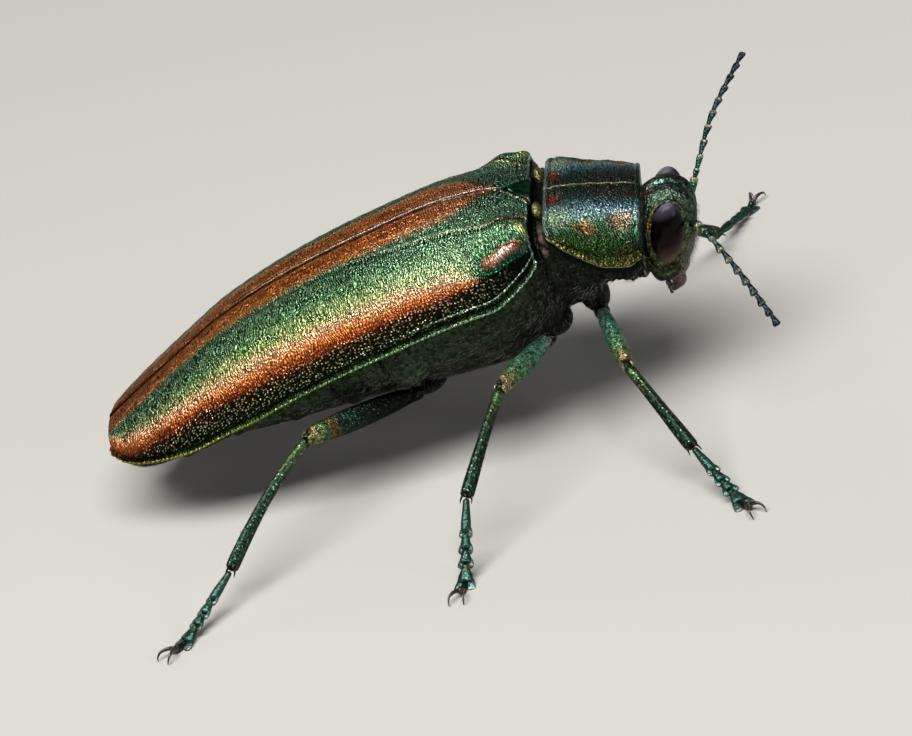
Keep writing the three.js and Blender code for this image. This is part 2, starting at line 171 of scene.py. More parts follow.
class Form:
    """A closed surface: its points in millimetres, its faces, and a pattern place for each point.

    A place is three numbers, or six where a pattern also needs three marks of its own."""

    def __init__(self, points, faces, place=None):
        self.points = np.asarray(points, float).reshape(-1, 3)
        self.faces = [list(map(int, face)) for face in faces]
        self.place = self.points.copy() if place is None else np.asarray(
            place, float).reshape(len(self.points), -1)
        if self.volume() < 0:
            self.faces = [face[::-1] for face in self.faces]

    def volume(self):
        total = 0.0
        for size in {len(face) for face in self.faces}:
            same = np.array([face for face in self.faces if len(face) == size])
            corners = self.points[same]
            for i in range(1, size - 1):
                crossed = np.cross(corners[:, i], corners[:, i + 1])
                total += np.einsum("ij,ij->", corners[:, 0], crossed) / 6
        return total


def joined(forms):
    """Several forms as one, with their points and faces in turn."""
    offsets = np.cumsum([0] + [len(form.points) for form in forms[:-1]])
    faces = [[index + offset for index in face]
             for form, offset in zip(forms, offsets) for face in form.faces]
    points, places = (np.concatenate([getattr(form, kind) for form in forms])
                      for kind in ("points", "place"))
    return Form(points, faces, places)


def grid_faces(rows, columns, wrapped=False):
    """Quads between the neighbours in a grid. If wrapped, its last column joins its first."""
    across = np.arange(columns if wrapped else columns - 1)
    start = (np.arange(rows - 1) * columns)[:, None]
    a = start + across
    b = start + (across + 1) % columns
    return np.stack([a, b, b + columns, a + columns], -1).reshape(-1, 4).tolist()


def tube(rings, place=None):
    """A closed form lofted through rings of points, each end closed on its middle."""
    count, around = rings.shape[:2]
    ends = [rings[0].mean(0), rings[-1].mean(0)]
    points = np.concatenate([rings.reshape(-1, 3), ends])
    faces = grid_faces(count, around, wrapped=True)
    first, last = count * around, (count - 1) * around
    for i in range(around):
        j = (i + 1) % around
        faces.append([first, j, i])
        faces.append([first + 1, last + i, last + j])
    if place is not None:
        ends = [place[0].mean(0), place[-1].mean(0)]
        place = np.concatenate([place.reshape(-1, 3), ends])
    return Form(points, faces, place)


def walled(outer, inner, place):
    """A shell plate between a fine outer grid and a coarse inner one, with rounded edges."""
    rows, columns = outer.shape[:2]
    inner_columns = inner.shape[1]
    step = (columns - 1) // (inner_columns - 1)
    roll = 3

    def edge(outside, inside, beyond):
        turns = np.pi * np.arange(1, roll + 1) / (roll + 1)
        middle = (outside + inside) / 2
        half = (outside - inside) / 2
        reach = np.linalg.norm(half, axis=-1, keepdims=True) * beyond
        return np.stack([middle + half * np.cos(t) + reach * np.sin(t) for t in turns], 1)

    def outwards(near, nearer):
        away = near - nearer
        return away / np.maximum(np.linalg.norm(away, axis=-1, keepdims=True), 1e-9)

    far_edge = edge(outer[:, -1], inner[:, -1], 0.35 * outwards(outer[:, -1], outer[:, -4]))
    near_edge = edge(inner[:, 0], outer[:, 0], 0.2 * outwards(outer[:, 0], outer[:, 3]))
    loop = np.concatenate([outer, far_edge, inner[:, ::-1], near_edge], 1)
    around = loop.shape[1]
    faces = grid_faces(rows, around, wrapped=True)
    inside_from = columns + roll
    for row in (0, rows - 1):
        base = row * around
        caps = [[base + columns - 1 + i for i in range(roll + 2)],
                [base + inside_from + inner_columns - 1 + i for i in range(roll + 1)] + [base]]
        for k in range(inner_columns - 1):
            behind = base + inside_from + inner_columns - 1 - k
            strip = [base + step * k + i for i in range(step + 1)]
            caps.append(strip + [behind - 1, behind])
        faces += caps if row else [cap[::-1] for cap in caps]
    patterns = np.concatenate([
        place,
        np.repeat(place[:, -1:], roll, 1),
        place[:, ::-step],
        np.repeat(place[:, :1], roll, 1),
    ], 1)
    return Form(loop, faces, patterns)


def raised(surface, height):
    """Moves each point of a grid along the surface's own normal."""
    normal = np.cross(np.gradient(surface, axis=0), np.gradient(surface, axis=1))
    normal /= np.maximum(np.linalg.norm(normal, axis=-1, keepdims=True), 1e-12)
    return surface + normal * height[..., None]


def ball(centre, radii, wide=40, high=28, shape=None):
    """An ellipsoid with its poles up and down. shape may move its points."""
    turn = np.linspace(0, 2 * np.pi, wide, endpoint=False)
    fall = np.linspace(0, np.pi, high)[1:-1, None]
    rings = np.stack([
        centre[0] + radii[0] * np.sin(fall) * np.cos(turn),
        centre[1] + radii[1] * np.sin(fall) * np.sin(turn),
        centre[2] + radii[2] * np.cos(fall) + 0 * turn,
    ], -1)
    form_rings = rings if shape is None else shape(rings)
    return tube(form_rings)


def along(line, count):
    """Evenly spaced points and directions on a smooth curve through a few points."""
    line = np.asarray(line, float)
    before = 2 * line[0] - line[1]
    after = 2 * line[-1] - line[-2]
    knots = np.vstack([before, line, after])
    t = np.linspace(0, len(line) - 1, 40 * len(line))
    i = np.minimum(t.astype(int), len(line) - 2)
    u = (t - i)[:, None]
    a, b, c, d = knots[i], knots[i + 1], knots[i + 2], knots[i + 3]
    fine = 0.5 * (2 * b + (c - a) * u + (2 * a - 5 * b + 4 * c - d) * u ** 2
                  + (3 * b - a - 3 * c + d) * u ** 3)
    lengths = np.concatenate([[0], np.cumsum(np.linalg.norm(np.diff(fine, axis=0), axis=1))])
    even = np.linspace(0, lengths[-1], count)
    points = np.stack([np.interp(even, lengths, fine[:, k]) for k in range(3)], -1)
    directions = np.gradient(points, axis=0)
    directions /= np.linalg.norm(directions, axis=1, keepdims=True)
    return points, directions, lengths[-1]


def limb(line, wide, high, sides=24, count=60, start=0.0, relief=None, up=(0, 0, 1)):
    """A closed limb along a line. wide and high give its half sizes at each fraction of the way."""
    points, directions, length = along(line, count)
    across = np.cross(directions, np.asarray(up, float))
    across /= np.linalg.norm(across, axis=1, keepdims=True)
    upright = np.cross(across, directions)
    at = np.linspace(0, 1, count)[:, None]
    turn = np.linspace(0, 2 * np.pi, sides, endpoint=False)[None]
    swell = 0 if relief is None else relief(at, turn)
    w = (wide(at) + swell) * np.cos(turn)
    h = (high(at) + swell) * np.sin(turn)
    rings = points[:, None] + across[:, None] * w[..., None] + upright[:, None] * h[..., None]
    mean_radius = float(np.mean(wide(at)))
    place = np.stack([start + length * at + 0 * turn, mean_radius * turn + 0 * at,
                      at + 0 * turn], -1)
    return tube(rings, place)


def rounded(at, tip=0.04):
    """A limb's rounding at its two ends, as a factor on its thickness."""
    near = np.clip(at / tip, 0, 1)
    far = np.clip((1 - at) / tip, 0, 1)
    return np.sqrt(np.maximum(1 - (1 - near) ** 2, 0.02)) * np.sqrt(
        np.maximum(1 - (1 - far) ** 2, 0.02))


# ---------------------------------------------------------------- pieces

def mirrored_place(form):
    """Patterns of a two-sided piece are the same on both sides."""
    form.place[:, 1] = np.abs(form.place[:, 1])
    return form


def make_piece(name, forms, place_in_model, material):
    """Joins closed forms into one smooth mesh object at the origin."""
    points, places, faces, offset = [], [], [], 0
    for form in forms:
        points.append(form.points)
        places.append(form.place)
        faces += [[index + offset for index in face] for face in form.faces]
        offset += len(form.points)
    mesh = bpy.data.meshes.new(name)
    mesh.from_pydata(place_in_model(np.concatenate(points)).tolist(), [], faces)
    places = np.concatenate(places).astype(np.float32)
    for first, attribute in ((0, "place"), (3, "marks"))[:places.shape[1] // 3]:
        lay = mesh.attributes.new(attribute, "FLOAT_VECTOR", "POINT")
        lay.data.foreach_set("vector", places[:, first:first + 3].ravel())
    work = bmesh.new()
    work.from_mesh(mesh)
    bmesh.ops.remove_doubles(work, verts=work.verts, dist=1e-8)
    bmesh.ops.dissolve_degenerate(work, edges=work.edges, dist=1e-9)
    work.to_mesh(mesh)
    work.free()
    mesh.shade_smooth()
    mesh.materials.append(material)
    piece = bpy.data.objects.new(name, mesh)
    bpy.context.scene.collection.objects.link(piece)
    return piece


def stands_for(piece, node):
    """The piece rides with the body and is shown in place of a solid, which is hidden."""
    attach(piece, "root")
    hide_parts(node)


# ---------------------------------------------------------------- materials

def linear(hex_colour):
    """An sRGB hex colour as linear red, green, blue and alpha."""
    channels = [(hex_colour >> shift & 255) / 255 for shift in (16, 8, 0)]
    return [c / 12.92 if c <= 0.04045 else ((c + 0.055) / 1.055) ** 2.4 for c in channels] + [1.0]


# The kinds of node used most often, and the numbers of a colour mix's sockets.
MATH, RANGE, MIX, RAMP = ("ShaderNodeMath", "ShaderNodeMapRange", "ShaderNodeMix",
                          "ShaderNodeValToRGB")
NOISE, CELLS, BUMP = "ShaderNodeTexNoise", "ShaderNodeTexVoronoi", "ShaderNodeBump"
PARTS, VECTOR_MATH = "ShaderNodeSeparateXYZ", "ShaderNodeVectorMath"
COVER, UNDER, OVER, MIXED = 0, 6, 7, 2


def node(tree, kind, inputs=(), stops=None, **settings):
    """Adds a node. inputs are values, or the sockets that feed them, in the order of its own
    sockets or by their names or numbers. A whole number stands for a colour in hex."""
    made = tree.nodes.new(kind)
    for name, setting in settings.items():
        setattr(made, name, setting)
    for key, given in (inputs if isinstance(inputs, dict) else dict(enumerate(inputs))).items():
        socket = made.inputs[key]
        if isinstance(given, bpy.types.NodeSocket):
            tree.links.new(given, socket)
        elif isinstance(given, int) and socket.type == "RGBA":
            socket.default_value = linear(given)
        else:
            socket.default_value = given
    if stops:
        elements = made.color_ramp.elements
        while len(elements) < len(stops):
            elements.new(1.0)
        for element, (position, colour) in zip(elements, stops):
            element.position = position
            element.color = linear(colour)
    return made.outputs


def new_material(name):
    material = bpy.data.materials.new(name)
    material.use_nodes = True
    material.node_tree.nodes.clear()
    return material, material.node_tree


# Chitin seen edge-on mirrors its surroundings less than a metal does.
EDGE_TINT = (0.4, 0.42, 0.4, 1.0)


def wing_case_material():
    """Layered chitin that shines like coloured metal: copper stripes on green, finely wrinkled.

    Every wrinkle and granule catches the light by itself, and painted highlights, glints and shade on
    them add to it, so the stripes glitter and look deep."""
    material, tree = new_material("iridescent striped chitin")
    place = node(tree, "ShaderNodeAttribute", attribute_name="place")["Vector"]
    flat = node(tree, VECTOR_MATH, (place, (1, 1, 0)), operation="MULTIPLY")[0]
    forward, _, stripe = node(tree, PARTS, (place,))
    marks = node(tree, "ShaderNodeAttribute", attribute_name="marks")["Vector"]
    from_rib, from_rim, from_callus = node(tree, PARTS, (marks,))

    # Wrinkles run across the stripes in curved lines about 0.14 mm apart, here and there broken.
    waves = node(tree, "ShaderNodeTexWave", {
        "Vector": flat, "Scale": 2.2, "Distortion": 20.0, "Detail": 2.0, "Detail Scale": 0.5,
        "Detail Roughness": 0.55}, bands_direction="X")[1]
    crumbled = node(tree, NOISE, {
        "Vector": node(tree, "ShaderNodeMapping", {"Vector": flat, "Scale": (10.0, 3.4, 1)})[0],
        "Scale": 1.0, "Detail": 1.5, "Roughness": 0.5, "Distortion": 1.2}, noise_dimensions="2D")[0]
    wrinkles = node(tree, MATH, (
        node(tree, MATH, (waves, 0.36), operation="MULTIPLY")[0],
        node(tree, MATH, (crumbled, 0.64), operation="MULTIPLY")[0]), operation="ADD")[0]
    # Granules, about 0.15 mm apart.
    granules = node(tree, CELLS, {
        "Vector": node(tree, "ShaderNodeMapping", {"Vector": flat, "Scale": (5.2, 7.0, 1)})[0],
        "Scale": 1.0, "Randomness": 0.9}, voronoi_dimensions="2D")
    clouds = node(tree, NOISE, {
        "Vector": node(tree, "ShaderNodeMapping", {"Vector": flat, "Scale": (0.5, 1.6, 1)})[0],
        "Scale": 1.0, "Detail": 4.0, "Roughness": 0.6}, noise_dimensions="2D")[0]

    # Away from the seam, the stripes' edges waver a little and break up along the wrinkles.
    waver = node(tree, MATH, (clouds, 0.30, -0.15), operation="MULTIPLY_ADD")[0]
    ragged = node(tree, MATH, (crumbled, 0.5, -0.25), operation="MULTIPLY_ADD")[0]
    moved = node(tree, MATH, (
        node(tree, MATH, (waver, ragged), operation="ADD")[0],
        node(tree, RANGE, (stripe, 0.3, 0.9))[0]), operation="MULTIPLY")[0]
    across = node(tree, MATH, (
        node(tree, MATH, (stripe, moved), operation="ADD")[0], 0.25), operation="MULTIPLY")[0]
    colour = node(tree, RAMP, (across,), stops=[
        (0.000, 0x9c6a50), (0.006, 0x7c4a34), (0.011, 0x20140c), (0.030, 0x8a4e2c),
        (0.050, 0xf49866), (0.070, 0xcc7040), (0.120, 0xbc6230), (0.165, 0xdc7c40),
        (0.205, 0xff9e5c), (0.232, 0xffbc88), (0.252, 0x8a8454), (0.268, 0x2c4c34),
        (0.310, 0x284a32), (0.370, 0x386040), (0.415, 0x5c8450), (0.455, 0x98ac6c),
        (0.485, 0xbcb878), (0.508, 0xf8c498), (0.560, 0xffb884), (0.625, 0xf08c48),
        (0.675, 0xb4521f), (0.730, 0x743010), (0.765, 0x381c0c), (0.815, 0x1e1c0c),
        (0.900, 0x161c0e), (0.945, 0x18200f), (0.980, 0x203818), (1.000, 0x5a7a4a)])[0]
    # Painted light and shade: the colours are darker and browner towards the tail and lightest at the
    # front, where the light falls.
    in_side = node(tree, RANGE, (across, 0.45, 0.56))[0]
    tail_shade_tone = node(tree, RAMP, (node(tree, RANGE, (forward, 2.0, 24.0))[0],), stops=[
        (0.05, 0xa89c84), (0.45, 0xdce0b4), (0.8, 0xffffff)])[0]
    tail_shaded = node(tree, MIX, {
        COVER: 1.0, UNDER: colour, OVER: tail_shade_tone,
    }, data_type="RGBA", blend_type="MULTIPLY")[MIXED]
    colour = node(tree, MIX, {
        COVER: node(tree, RANGE, (in_side, 0.0, 1.0, 1.0, 0.25))[0], UNDER: colour, OVER: tail_shaded,
    }, data_type="RGBA")[MIXED]
    # Painted sheen: the front of the inner copper stripe is paled towards white.
    front_sheen = node(tree, MATH, (
        node(tree, RANGE, (forward, 19.0, 24.5, 0.0, 0.28))[0],
        node(tree, RANGE, (across, 0.27, 0.22))[0]), operation="MULTIPLY")[0]
    colour = node(tree, MIX, {
        COVER: front_sheen, UNDER: colour, OVER: 0xecc8ac}, data_type="RGBA")[MIXED]
    # Painted light: the green is paler towards the front, where the light falls.
    front_green_sheen = node(tree, MATH, (
        node(tree, RANGE, (forward, 17.0, 23.5, 0.0, 0.25))[0],
        node(tree, MATH, (
            node(tree, RANGE, (across, 0.24, 0.27))[0], node(tree, RANGE, (across, 0.49, 0.46))[0],
        ), operation="MULTIPLY")[0]), operation="MULTIPLY")[0]
    colour = node(tree, MIX, {COVER: front_green_sheen, UNDER: colour, OVER: 0xa8d4ac}, data_type="RGBA")[MIXED]
    # The inner stripe is finely streaked along the seam, whose edge is pale in front.
    streaks = node(tree, NOISE, {
        "Vector": node(tree, "ShaderNodeMapping", {"Vector": flat, "Scale": (0.9, 13.0, 1)})[0],
        "Scale": 1.0, "Detail": 2.0}, noise_dimensions="2D")[0]
    streaked = node(tree, MIX, {
        COVER: 1.0, UNDER: colour, OVER: node(tree, RANGE, (streaks, 0.36, 0.62, 0.45, 1.3))[0],
    }, data_type="RGBA", blend_type="MULTIPLY")[MIXED]
    colour = node(tree, MIX, {
        COVER: node(tree, RANGE, (across, 0.25, 0.22))[0], UNDER: colour, OVER: streaked,
    }, data_type="RGBA")[MIXED]
    seam_edge = node(tree, MATH, (
        node(tree, RANGE, (across, 0.007, 0.004))[0],
        node(tree, RANGE, (forward, 8.0, 18.0, 0.0, 0.55))[0]), operation="MULTIPLY")[0]
    colour = node(tree, MIX, {
        COVER: seam_edge, UNDER: colour, OVER: 0xb8aca8}, data_type="RGBA")[MIXED]
    tapering = node(tree, RANGE, (forward, 22.6, 24.6, 0.262, -0.02))[0]
    past_tip = node(tree, MATH, (
        node(tree, RANGE, (
            node(tree, MATH, (across, tapering), operation="SUBTRACT")[0], -0.02, 0.02))[0],
        node(tree, RANGE, (across, 0.30, 0.26))[0]), operation="MULTIPLY")[0]
    colour = node(tree, MIX, {
        COVER: past_tip, UNDER: colour, OVER: 0x2e5e4a}, data_type="RGBA")[MIXED]
    # In front of the side stripe the shoulder is teal above and nearly black below.
    base = node(tree, RAMP, (across,), stops=[
        (0.300, 0x24583e), (0.430, 0x40805a), (0.490, 0x285844), (0.530, 0x122a1a),
        (0.580, 0x0a1208), (0.900, 0x0c180a), (1.000, 0x243c1c)])[0]
    ahead = node(tree, MATH, (
        forward, node(tree, MATH, (crumbled, 1.6), operation="MULTIPLY")[0]), operation="ADD")[0]
    in_front = node(tree, MATH, (
        node(tree, RANGE, (ahead, 23.1, 24.0))[0], node(tree, RANGE, (across, 0.38, 0.46))[0],
    ), operation="MULTIPLY")[0]
    colour = node(tree, MIX, {COVER: in_front, UNDER: colour, OVER: base}, data_type="RGBA")[MIXED]
    near = node(tree, "ShaderNodeMapping", {
        "Vector": flat, "Location": (-25.8 * 1.5, -3.0 * 1.4, 0), "Scale": (1.5, 1.4, 1)})[0]
    tubercle = spot(tree, near, (0, 0, 0), 1.0)
    colour = node(tree, MIX, {
        COVER: node(tree, RANGE, (tubercle, 0.0, 0.45))[0], UNDER: colour, OVER: 0xbcc880,
    }, data_type="RGBA")[MIXED]
    # The shoulder callus is smooth copper, part its own colour and part painted highlight, with a
    # near-white painted highlight along its crest.
    off_callus = node(tree, MATH, (
        node(tree, MATH, (
            from_callus, node(tree, MATH, (ragged, 0.6), operation="MULTIPLY")[0],
        ), operation="ADD")[0],), operation="ABSOLUTE")[0]
    callus = node(tree, MATH, (
        node(tree, RANGE, (off_callus, 0.40, 0.14))[0],
        node(tree, MATH, (
            node(tree, RANGE, (forward, 23.2, 23.9))[0], node(tree, RANGE, (forward, 25.8, 25.2))[0],
        ), operation="MULTIPLY")[0]), operation="MULTIPLY")[0]
    callus_copper_and_highlight = node(tree, RAMP, (node(tree, RANGE, (ahead, 24.0, 26.6))[0],), stops=[
        (0.0, 0xd88a5c), (0.55, 0xc87450), (1.0, 0x70382c)])[0]
    colour = node(tree, MIX, {
        COVER: callus, UNDER: colour, OVER: callus_copper_and_highlight}, data_type="RGBA")[MIXED]
    callus_crest_highlight = node(tree, MATH, (
        node(tree, RANGE, (off_callus, 0.22, 0.02))[0],
        node(tree, MATH, (
            node(tree, RANGE, (forward, 23.7, 24.5))[0], node(tree, RANGE, (forward, 25.3, 24.8))[0],
        ), operation="MULTIPLY")[0]), operation="MULTIPLY")[0]
    colour = node(tree, MIX, {
        COVER: callus_crest_highlight, UNDER: colour, OVER: 0xfff4ec}, data_type="RGBA")[MIXED]
    # A groove runs from the shoulder, painted dark as shade, with a pale edge above it that ends in
    # copper.
    groove = node(tree, RANGE, (
        node(tree, MATH, (from_rib,), operation="ABSOLUTE")[0], 0.22, 0.05))[0]
    edge = node(tree, MATH, (
        node(tree, MATH, (from_rib, 0.24), operation="ADD")[0],), operation="ABSOLUTE")[0]
    edge = node(tree, RANGE, (edge, 0.16, 0.05))[0]
    colour = node(tree, MIX, {
        COVER: node(tree, MATH, (
            groove, node(tree, RANGE, (forward, 7.0, 17.0, 0.1, 0.95))[0],
        ), operation="MULTIPLY")[0], UNDER: colour, OVER: 0x0c2018}, data_type="RGBA")[MIXED]
    edge_tone = node(tree, RAMP, (node(tree, RANGE, (forward, 15.0, 25.5))[0],), stops=[
        (0.0, 0x6a9a70), (0.75, 0xc8d8a0), (0.9, 0xd0a070), (1.0, 0xb87848)])[0]
    colour = node(tree, MIX, {
        COVER: node(tree, MATH, (
            edge, node(tree, RANGE, (forward, 14.0, 21.0, 0.0, 0.75))[0]), operation="MULTIPLY")[0],
        UNDER: colour, OVER: edge_tone}, data_type="RGBA")[MIXED]

    # The valleys between wrinkles are painted dark as shade, and their crests get a pale painted
    # highlight, stronger towards the front.
    seam_free = node(tree, RANGE, (stripe, 0.1, 0.35))[0]
    side_free = node(tree, RANGE, (across, 0.76, 0.64))[0]
    rough_skin = node(tree, MATH, (seam_free, side_free), operation="MULTIPLY")[0]
    wrinkled = node(tree, MATH, (
        rough_skin, node(tree, RANGE, (callus, 0.0, 1.0, 1.0, 0.35))[0]), operation="MULTIPLY")[0]
    valley_shade = node(tree, RANGE, (wrinkles, 0.31, 0.57, 0.25, 1.1))[0]
    crest_highlight = node(tree, RANGE, (wrinkles, 0.54, 0.71, 0.0, 0.52))[0]
    crest_highlight_tone = node(tree, RAMP, (across,), stops=[
        (0.10, 0xe8985c), (0.23, 0xf0b080), (0.27, 0xa0c8a4), (0.40, 0xb4dcac), (0.46, 0xd8ecb8),
        (0.50, 0xffdcb8), (0.60, 0xfcb484), (0.70, 0xe88c50)])[0]
    crest_highlight = node(tree, MATH, (
        crest_highlight,
        node(tree, MATH, (
            wrinkled, node(tree, RANGE, (in_front, 1.0, 0.0))[0]), operation="MULTIPLY")[0],
    ), operation="MULTIPLY")[0]
    crest_highlight = node(tree, MATH, (
        crest_highlight, node(tree, RANGE, (forward, 16.0, 23.0, 1.0, 1.7))[0]), operation="MULTIPLY")[0]
    shade = node(tree, MIX, {
        COVER: crest_highlight, UNDER: colour, OVER: crest_highlight_tone}, data_type="RGBA")[MIXED]
    shade = node(tree, MIX, {
        COVER: node(tree, RANGE, (wrinkled, 0.0, 1.0, 0.5, 1.0))[0], UNDER: shade,
        OVER: node(tree, MIX, {
            COVER: 1.0, UNDER: shade, OVER: valley_shade}, data_type="RGBA", blend_type="MULTIPLY")[MIXED],
    }, data_type="RGBA")[MIXED]
    # Granules in the dark side stripe get painted glints: gold dots of uneven strength.
    dot = node(tree, RANGE, (granules["Distance"], 0.30, 0.16))[0]
    uneven = node(tree, RANGE, (node(tree, PARTS, (granules["Color"],))[0], 0.15, 0.8))[0]
    in_dark = node(tree, MATH, (
        node(tree, RANGE, (across, 0.64, 0.76))[0], node(tree, RANGE, (from_rim, 0.3, 0.6))[0],
    ), operation="MULTIPLY")[0]
    sparser = node(tree, MATH, (
        node(tree, RANGE, (forward, 25.0, 22.5))[0],
        node(tree, MATH, (dot, uneven), operation="MULTIPLY")[0]), operation="MULTIPLY")[0]
    shade = node(tree, MIX, {
        COVER: node(tree, MATH, (in_dark, sparser), operation="MULTIPLY")[0], UNDER: shade,
        OVER: node(tree, RAMP, (across,), stops=[
            (0.700, 0xf4b894), (0.790, 0xf0dcb8), (0.900, 0xb8d0a0)])[0]}, data_type="RGBA")[MIXED]
    # The raised rim is beaded, and in front a second line runs above it.
    beads = node(tree, MATH, (
        node(tree, MATH, (
            node(tree, MATH, (forward, 2 * math.pi / 0.3), operation="MULTIPLY")[0],
        ), operation="SINE")[0], 0.3, 0.7), operation="MULTIPLY_ADD")[0]
    rim = node(tree, RANGE, (
        node(tree, MATH, (
            node(tree, MATH, (from_rim, -0.12), operation="ADD")[0],), operation="ABSOLUTE")[0],
        0.06, 0.025))[0]
    second = node(tree, RANGE, (
        node(tree, MATH, (
            node(tree, MATH, (from_rim, -0.66), operation="ADD")[0],), operation="ABSOLUTE")[0],
        0.05, 0.015))[0]
    spacing = node(tree, MATH, (
        node(tree, MATH, (forward, 2 * math.pi / 0.24), operation="MULTIPLY")[0],
    ), operation="SINE")[0]
    second = node(tree, MATH, (
        second, node(tree, RANGE, (spacing, -0.3, 0.5, 0.25, 1.0))[0]), operation="MULTIPLY")[0]
    lines = node(tree, MATH, (
        rim,
        node(tree, MATH, (
            second, node(tree, RANGE, (forward, 17.5, 22.0, 0.0, 0.9))[0]), operation="MULTIPLY")[0],
    ), operation="MAXIMUM")[0]
    rim_tone = node(tree, RAMP, (node(tree, RANGE, (forward, 0.0, 26.0))[0],), stops=[
        (0.0, 0xc8a048), (0.35, 0xa8b058), (0.6, 0x8ab88c), (1.0, 0xb8d4bc)])[0]
    shade = node(tree, MIX, {
        COVER: node(tree, MATH, (lines, beads), operation="MULTIPLY")[0], UNDER: shade,
        OVER: rim_tone}, data_type="RGBA")[MIXED]
    # Painted shade: the wing case's front face, where it meets the shield, is near black.
    shaded_front_wall = node(tree, RANGE, (forward, WING_BASE - 0.12, WING_BASE - 0.06))[0]
    shade = node(tree, MIX, {
        COVER: shaded_front_wall, UNDER: shade, OVER: 0x0c140e}, data_type="RGBA")[MIXED]
    hem = node(tree, MATH, (
        node(tree, RANGE, (forward, WING_BASE - 0.24, WING_BASE - 0.2))[0],
        node(tree, RANGE, (forward, WING_BASE - 0.1, WING_BASE - 0.13))[0],
    ), operation="MULTIPLY")[0]
    shade = node(tree, MIX, {
        COVER: node(tree, MATH, (hem, 0.7), operation="MULTIPLY")[0], UNDER: shade, OVER: 0xb0ccc4,
    }, data_type="RGBA")[MIXED]

    rough = node(tree, RANGE, (clouds, 0.3, 0.7, 0.22, 0.36))[0]
    low = node(tree, BUMP, {
        "Strength": 0.8, "Distance": 0.00006, "Height": granules["Distance"]}, invert=True)[0]
    fine = node(tree, BUMP, {
        "Strength": 1.0, "Distance": 0.00007, "Height": wrinkles, "Normal": low})[0]
    shader = node(tree, "ShaderNodeBsdfPrincipled", {
        "Base Color": shade, "Metallic": 0.95, "Roughness": rough, "Normal": fine,
        "Specular Tint": EDGE_TINT})["BSDF"]
    node(tree, "ShaderNodeOutputMaterial", {"Surface": shader})
    return material


def spot(tree, place, centre, radius):
    """How strongly a soft round patch covers a place: 1 at its centre, 0 beyond its radius."""
    reach = node(tree, VECTOR_MATH, (place, centre), operation="DISTANCE")["Value"]
    return node(tree, RANGE, {
        "Value": reach, "From Min": radius, "From Max": 0.0}, interpolation_type="SMOOTHSTEP")[0]


def patched_material(name, across_stops, patches, pit_size=0.15, metallic=0.9, roughness=0.3,
                     fleck=(0xd8c890, 0.5), marks=None, wrinkles=0.0):
    """Pitted, shining chitin, coloured from the middle outwards and by soft round patches, with pale
    flecks painted on its granules as glints.

    wrinkles is the share of its fine relief that runs in curved lines across the body."""
    material, tree = new_material(name)
    place = node(tree, "ShaderNodeAttribute", attribute_name="place")["Vector"]
    cloud = node(tree, NOISE, {"Vector": place, "Scale": 1.3, "Detail": 5.0, "Roughness": 0.65})
    drift = node(tree, VECTOR_MATH, (cloud[1], (0.5, 0.5, 0.5)), operation="SUBTRACT")[0]
    drifted = node(tree, VECTOR_MATH, (drift, (1.1, 1.1, 1.1), place), operation="MULTIPLY_ADD")[0]
    outwards = node(tree, MATH, (node(tree, PARTS, (drifted,))[1], 0.2), operation="MULTIPLY")[0]
    colour = node(tree, RAMP, (outwards,), stops=across_stops)[0]
    for centre, radius, strength, hex_colour in patches:
        cover = node(tree, MATH, (
            spot(tree, drifted, centre, radius), strength), operation="MULTIPLY")[0]
        colour = node(tree, MIX, {
            COVER: cover, UNDER: colour, OVER: hex_colour}, data_type="RGBA")[MIXED]
    pits = node(tree, CELLS, {"Vector": place, "Scale": 1 / pit_size})
    grain = node(tree, NOISE, {
        "Vector": place, "Scale": 0.75 / pit_size, "Detail": 2.0, "Distortion": 0.6})[0]
    if wrinkles:
        waves = node(tree, "ShaderNodeTexWave", {
            "Vector": place, "Scale": 2.0, "Distortion": 22.0, "Detail": 2.0, "Detail Scale": 0.5,
            "Detail Roughness": 0.55}, bands_direction="X")[1]
        grain = node(tree, MATH, (
            node(tree, MATH, (grain, 1 - wrinkles), operation="MULTIPLY")[0],
            node(tree, MATH, (waves, wrinkles), operation="MULTIPLY")[0]), operation="ADD")[0]
    shade = node(tree, MIX, {
        COVER: 1.0, UNDER: colour, OVER: node(tree, RANGE, (grain, 0.40, 0.58, 0.25, 1.1))[0],
    }, data_type="RGBA", blend_type="MULTIPLY")[MIXED]
    # Painted glints: pale flecks of uneven strength on the granules.
    uneven = node(tree, RANGE, (node(tree, PARTS, (pits["Color"],))[0], 0.3, 0.9))[0]
    flecks = node(tree, MATH, (
        node(tree, MATH, (
            node(tree, RANGE, (pits["Distance"], 0.34, 0.16))[0], uneven), operation="MULTIPLY")[0],
        fleck[1]), operation="MULTIPLY")[0]
    shade = node(tree, MIX, {COVER: flecks, UNDER: shade, OVER: fleck[0]}, data_type="RGBA")[MIXED]
    if marks:
        shade = marks(tree, place, shade, pits)
    low = node(tree, BUMP, {
        "Strength": 0.8, "Distance": 0.00006, "Height": pits["Distance"]}, invert=True)[0]
    fine = node(tree, BUMP, {
        "Strength": 0.9, "Distance": 0.00008, "Height": grain, "Normal": low})[0]
    shader = node(tree, "ShaderNodeBsdfPrincipled", {
        "Base Color": shade, "Metallic": metallic, "Roughness": roughness, "Normal": fine,
        "Specular Tint": EDGE_TINT})["BSDF"]
    node(tree, "ShaderNodeOutputMaterial", {"Surface": shader})
    return material


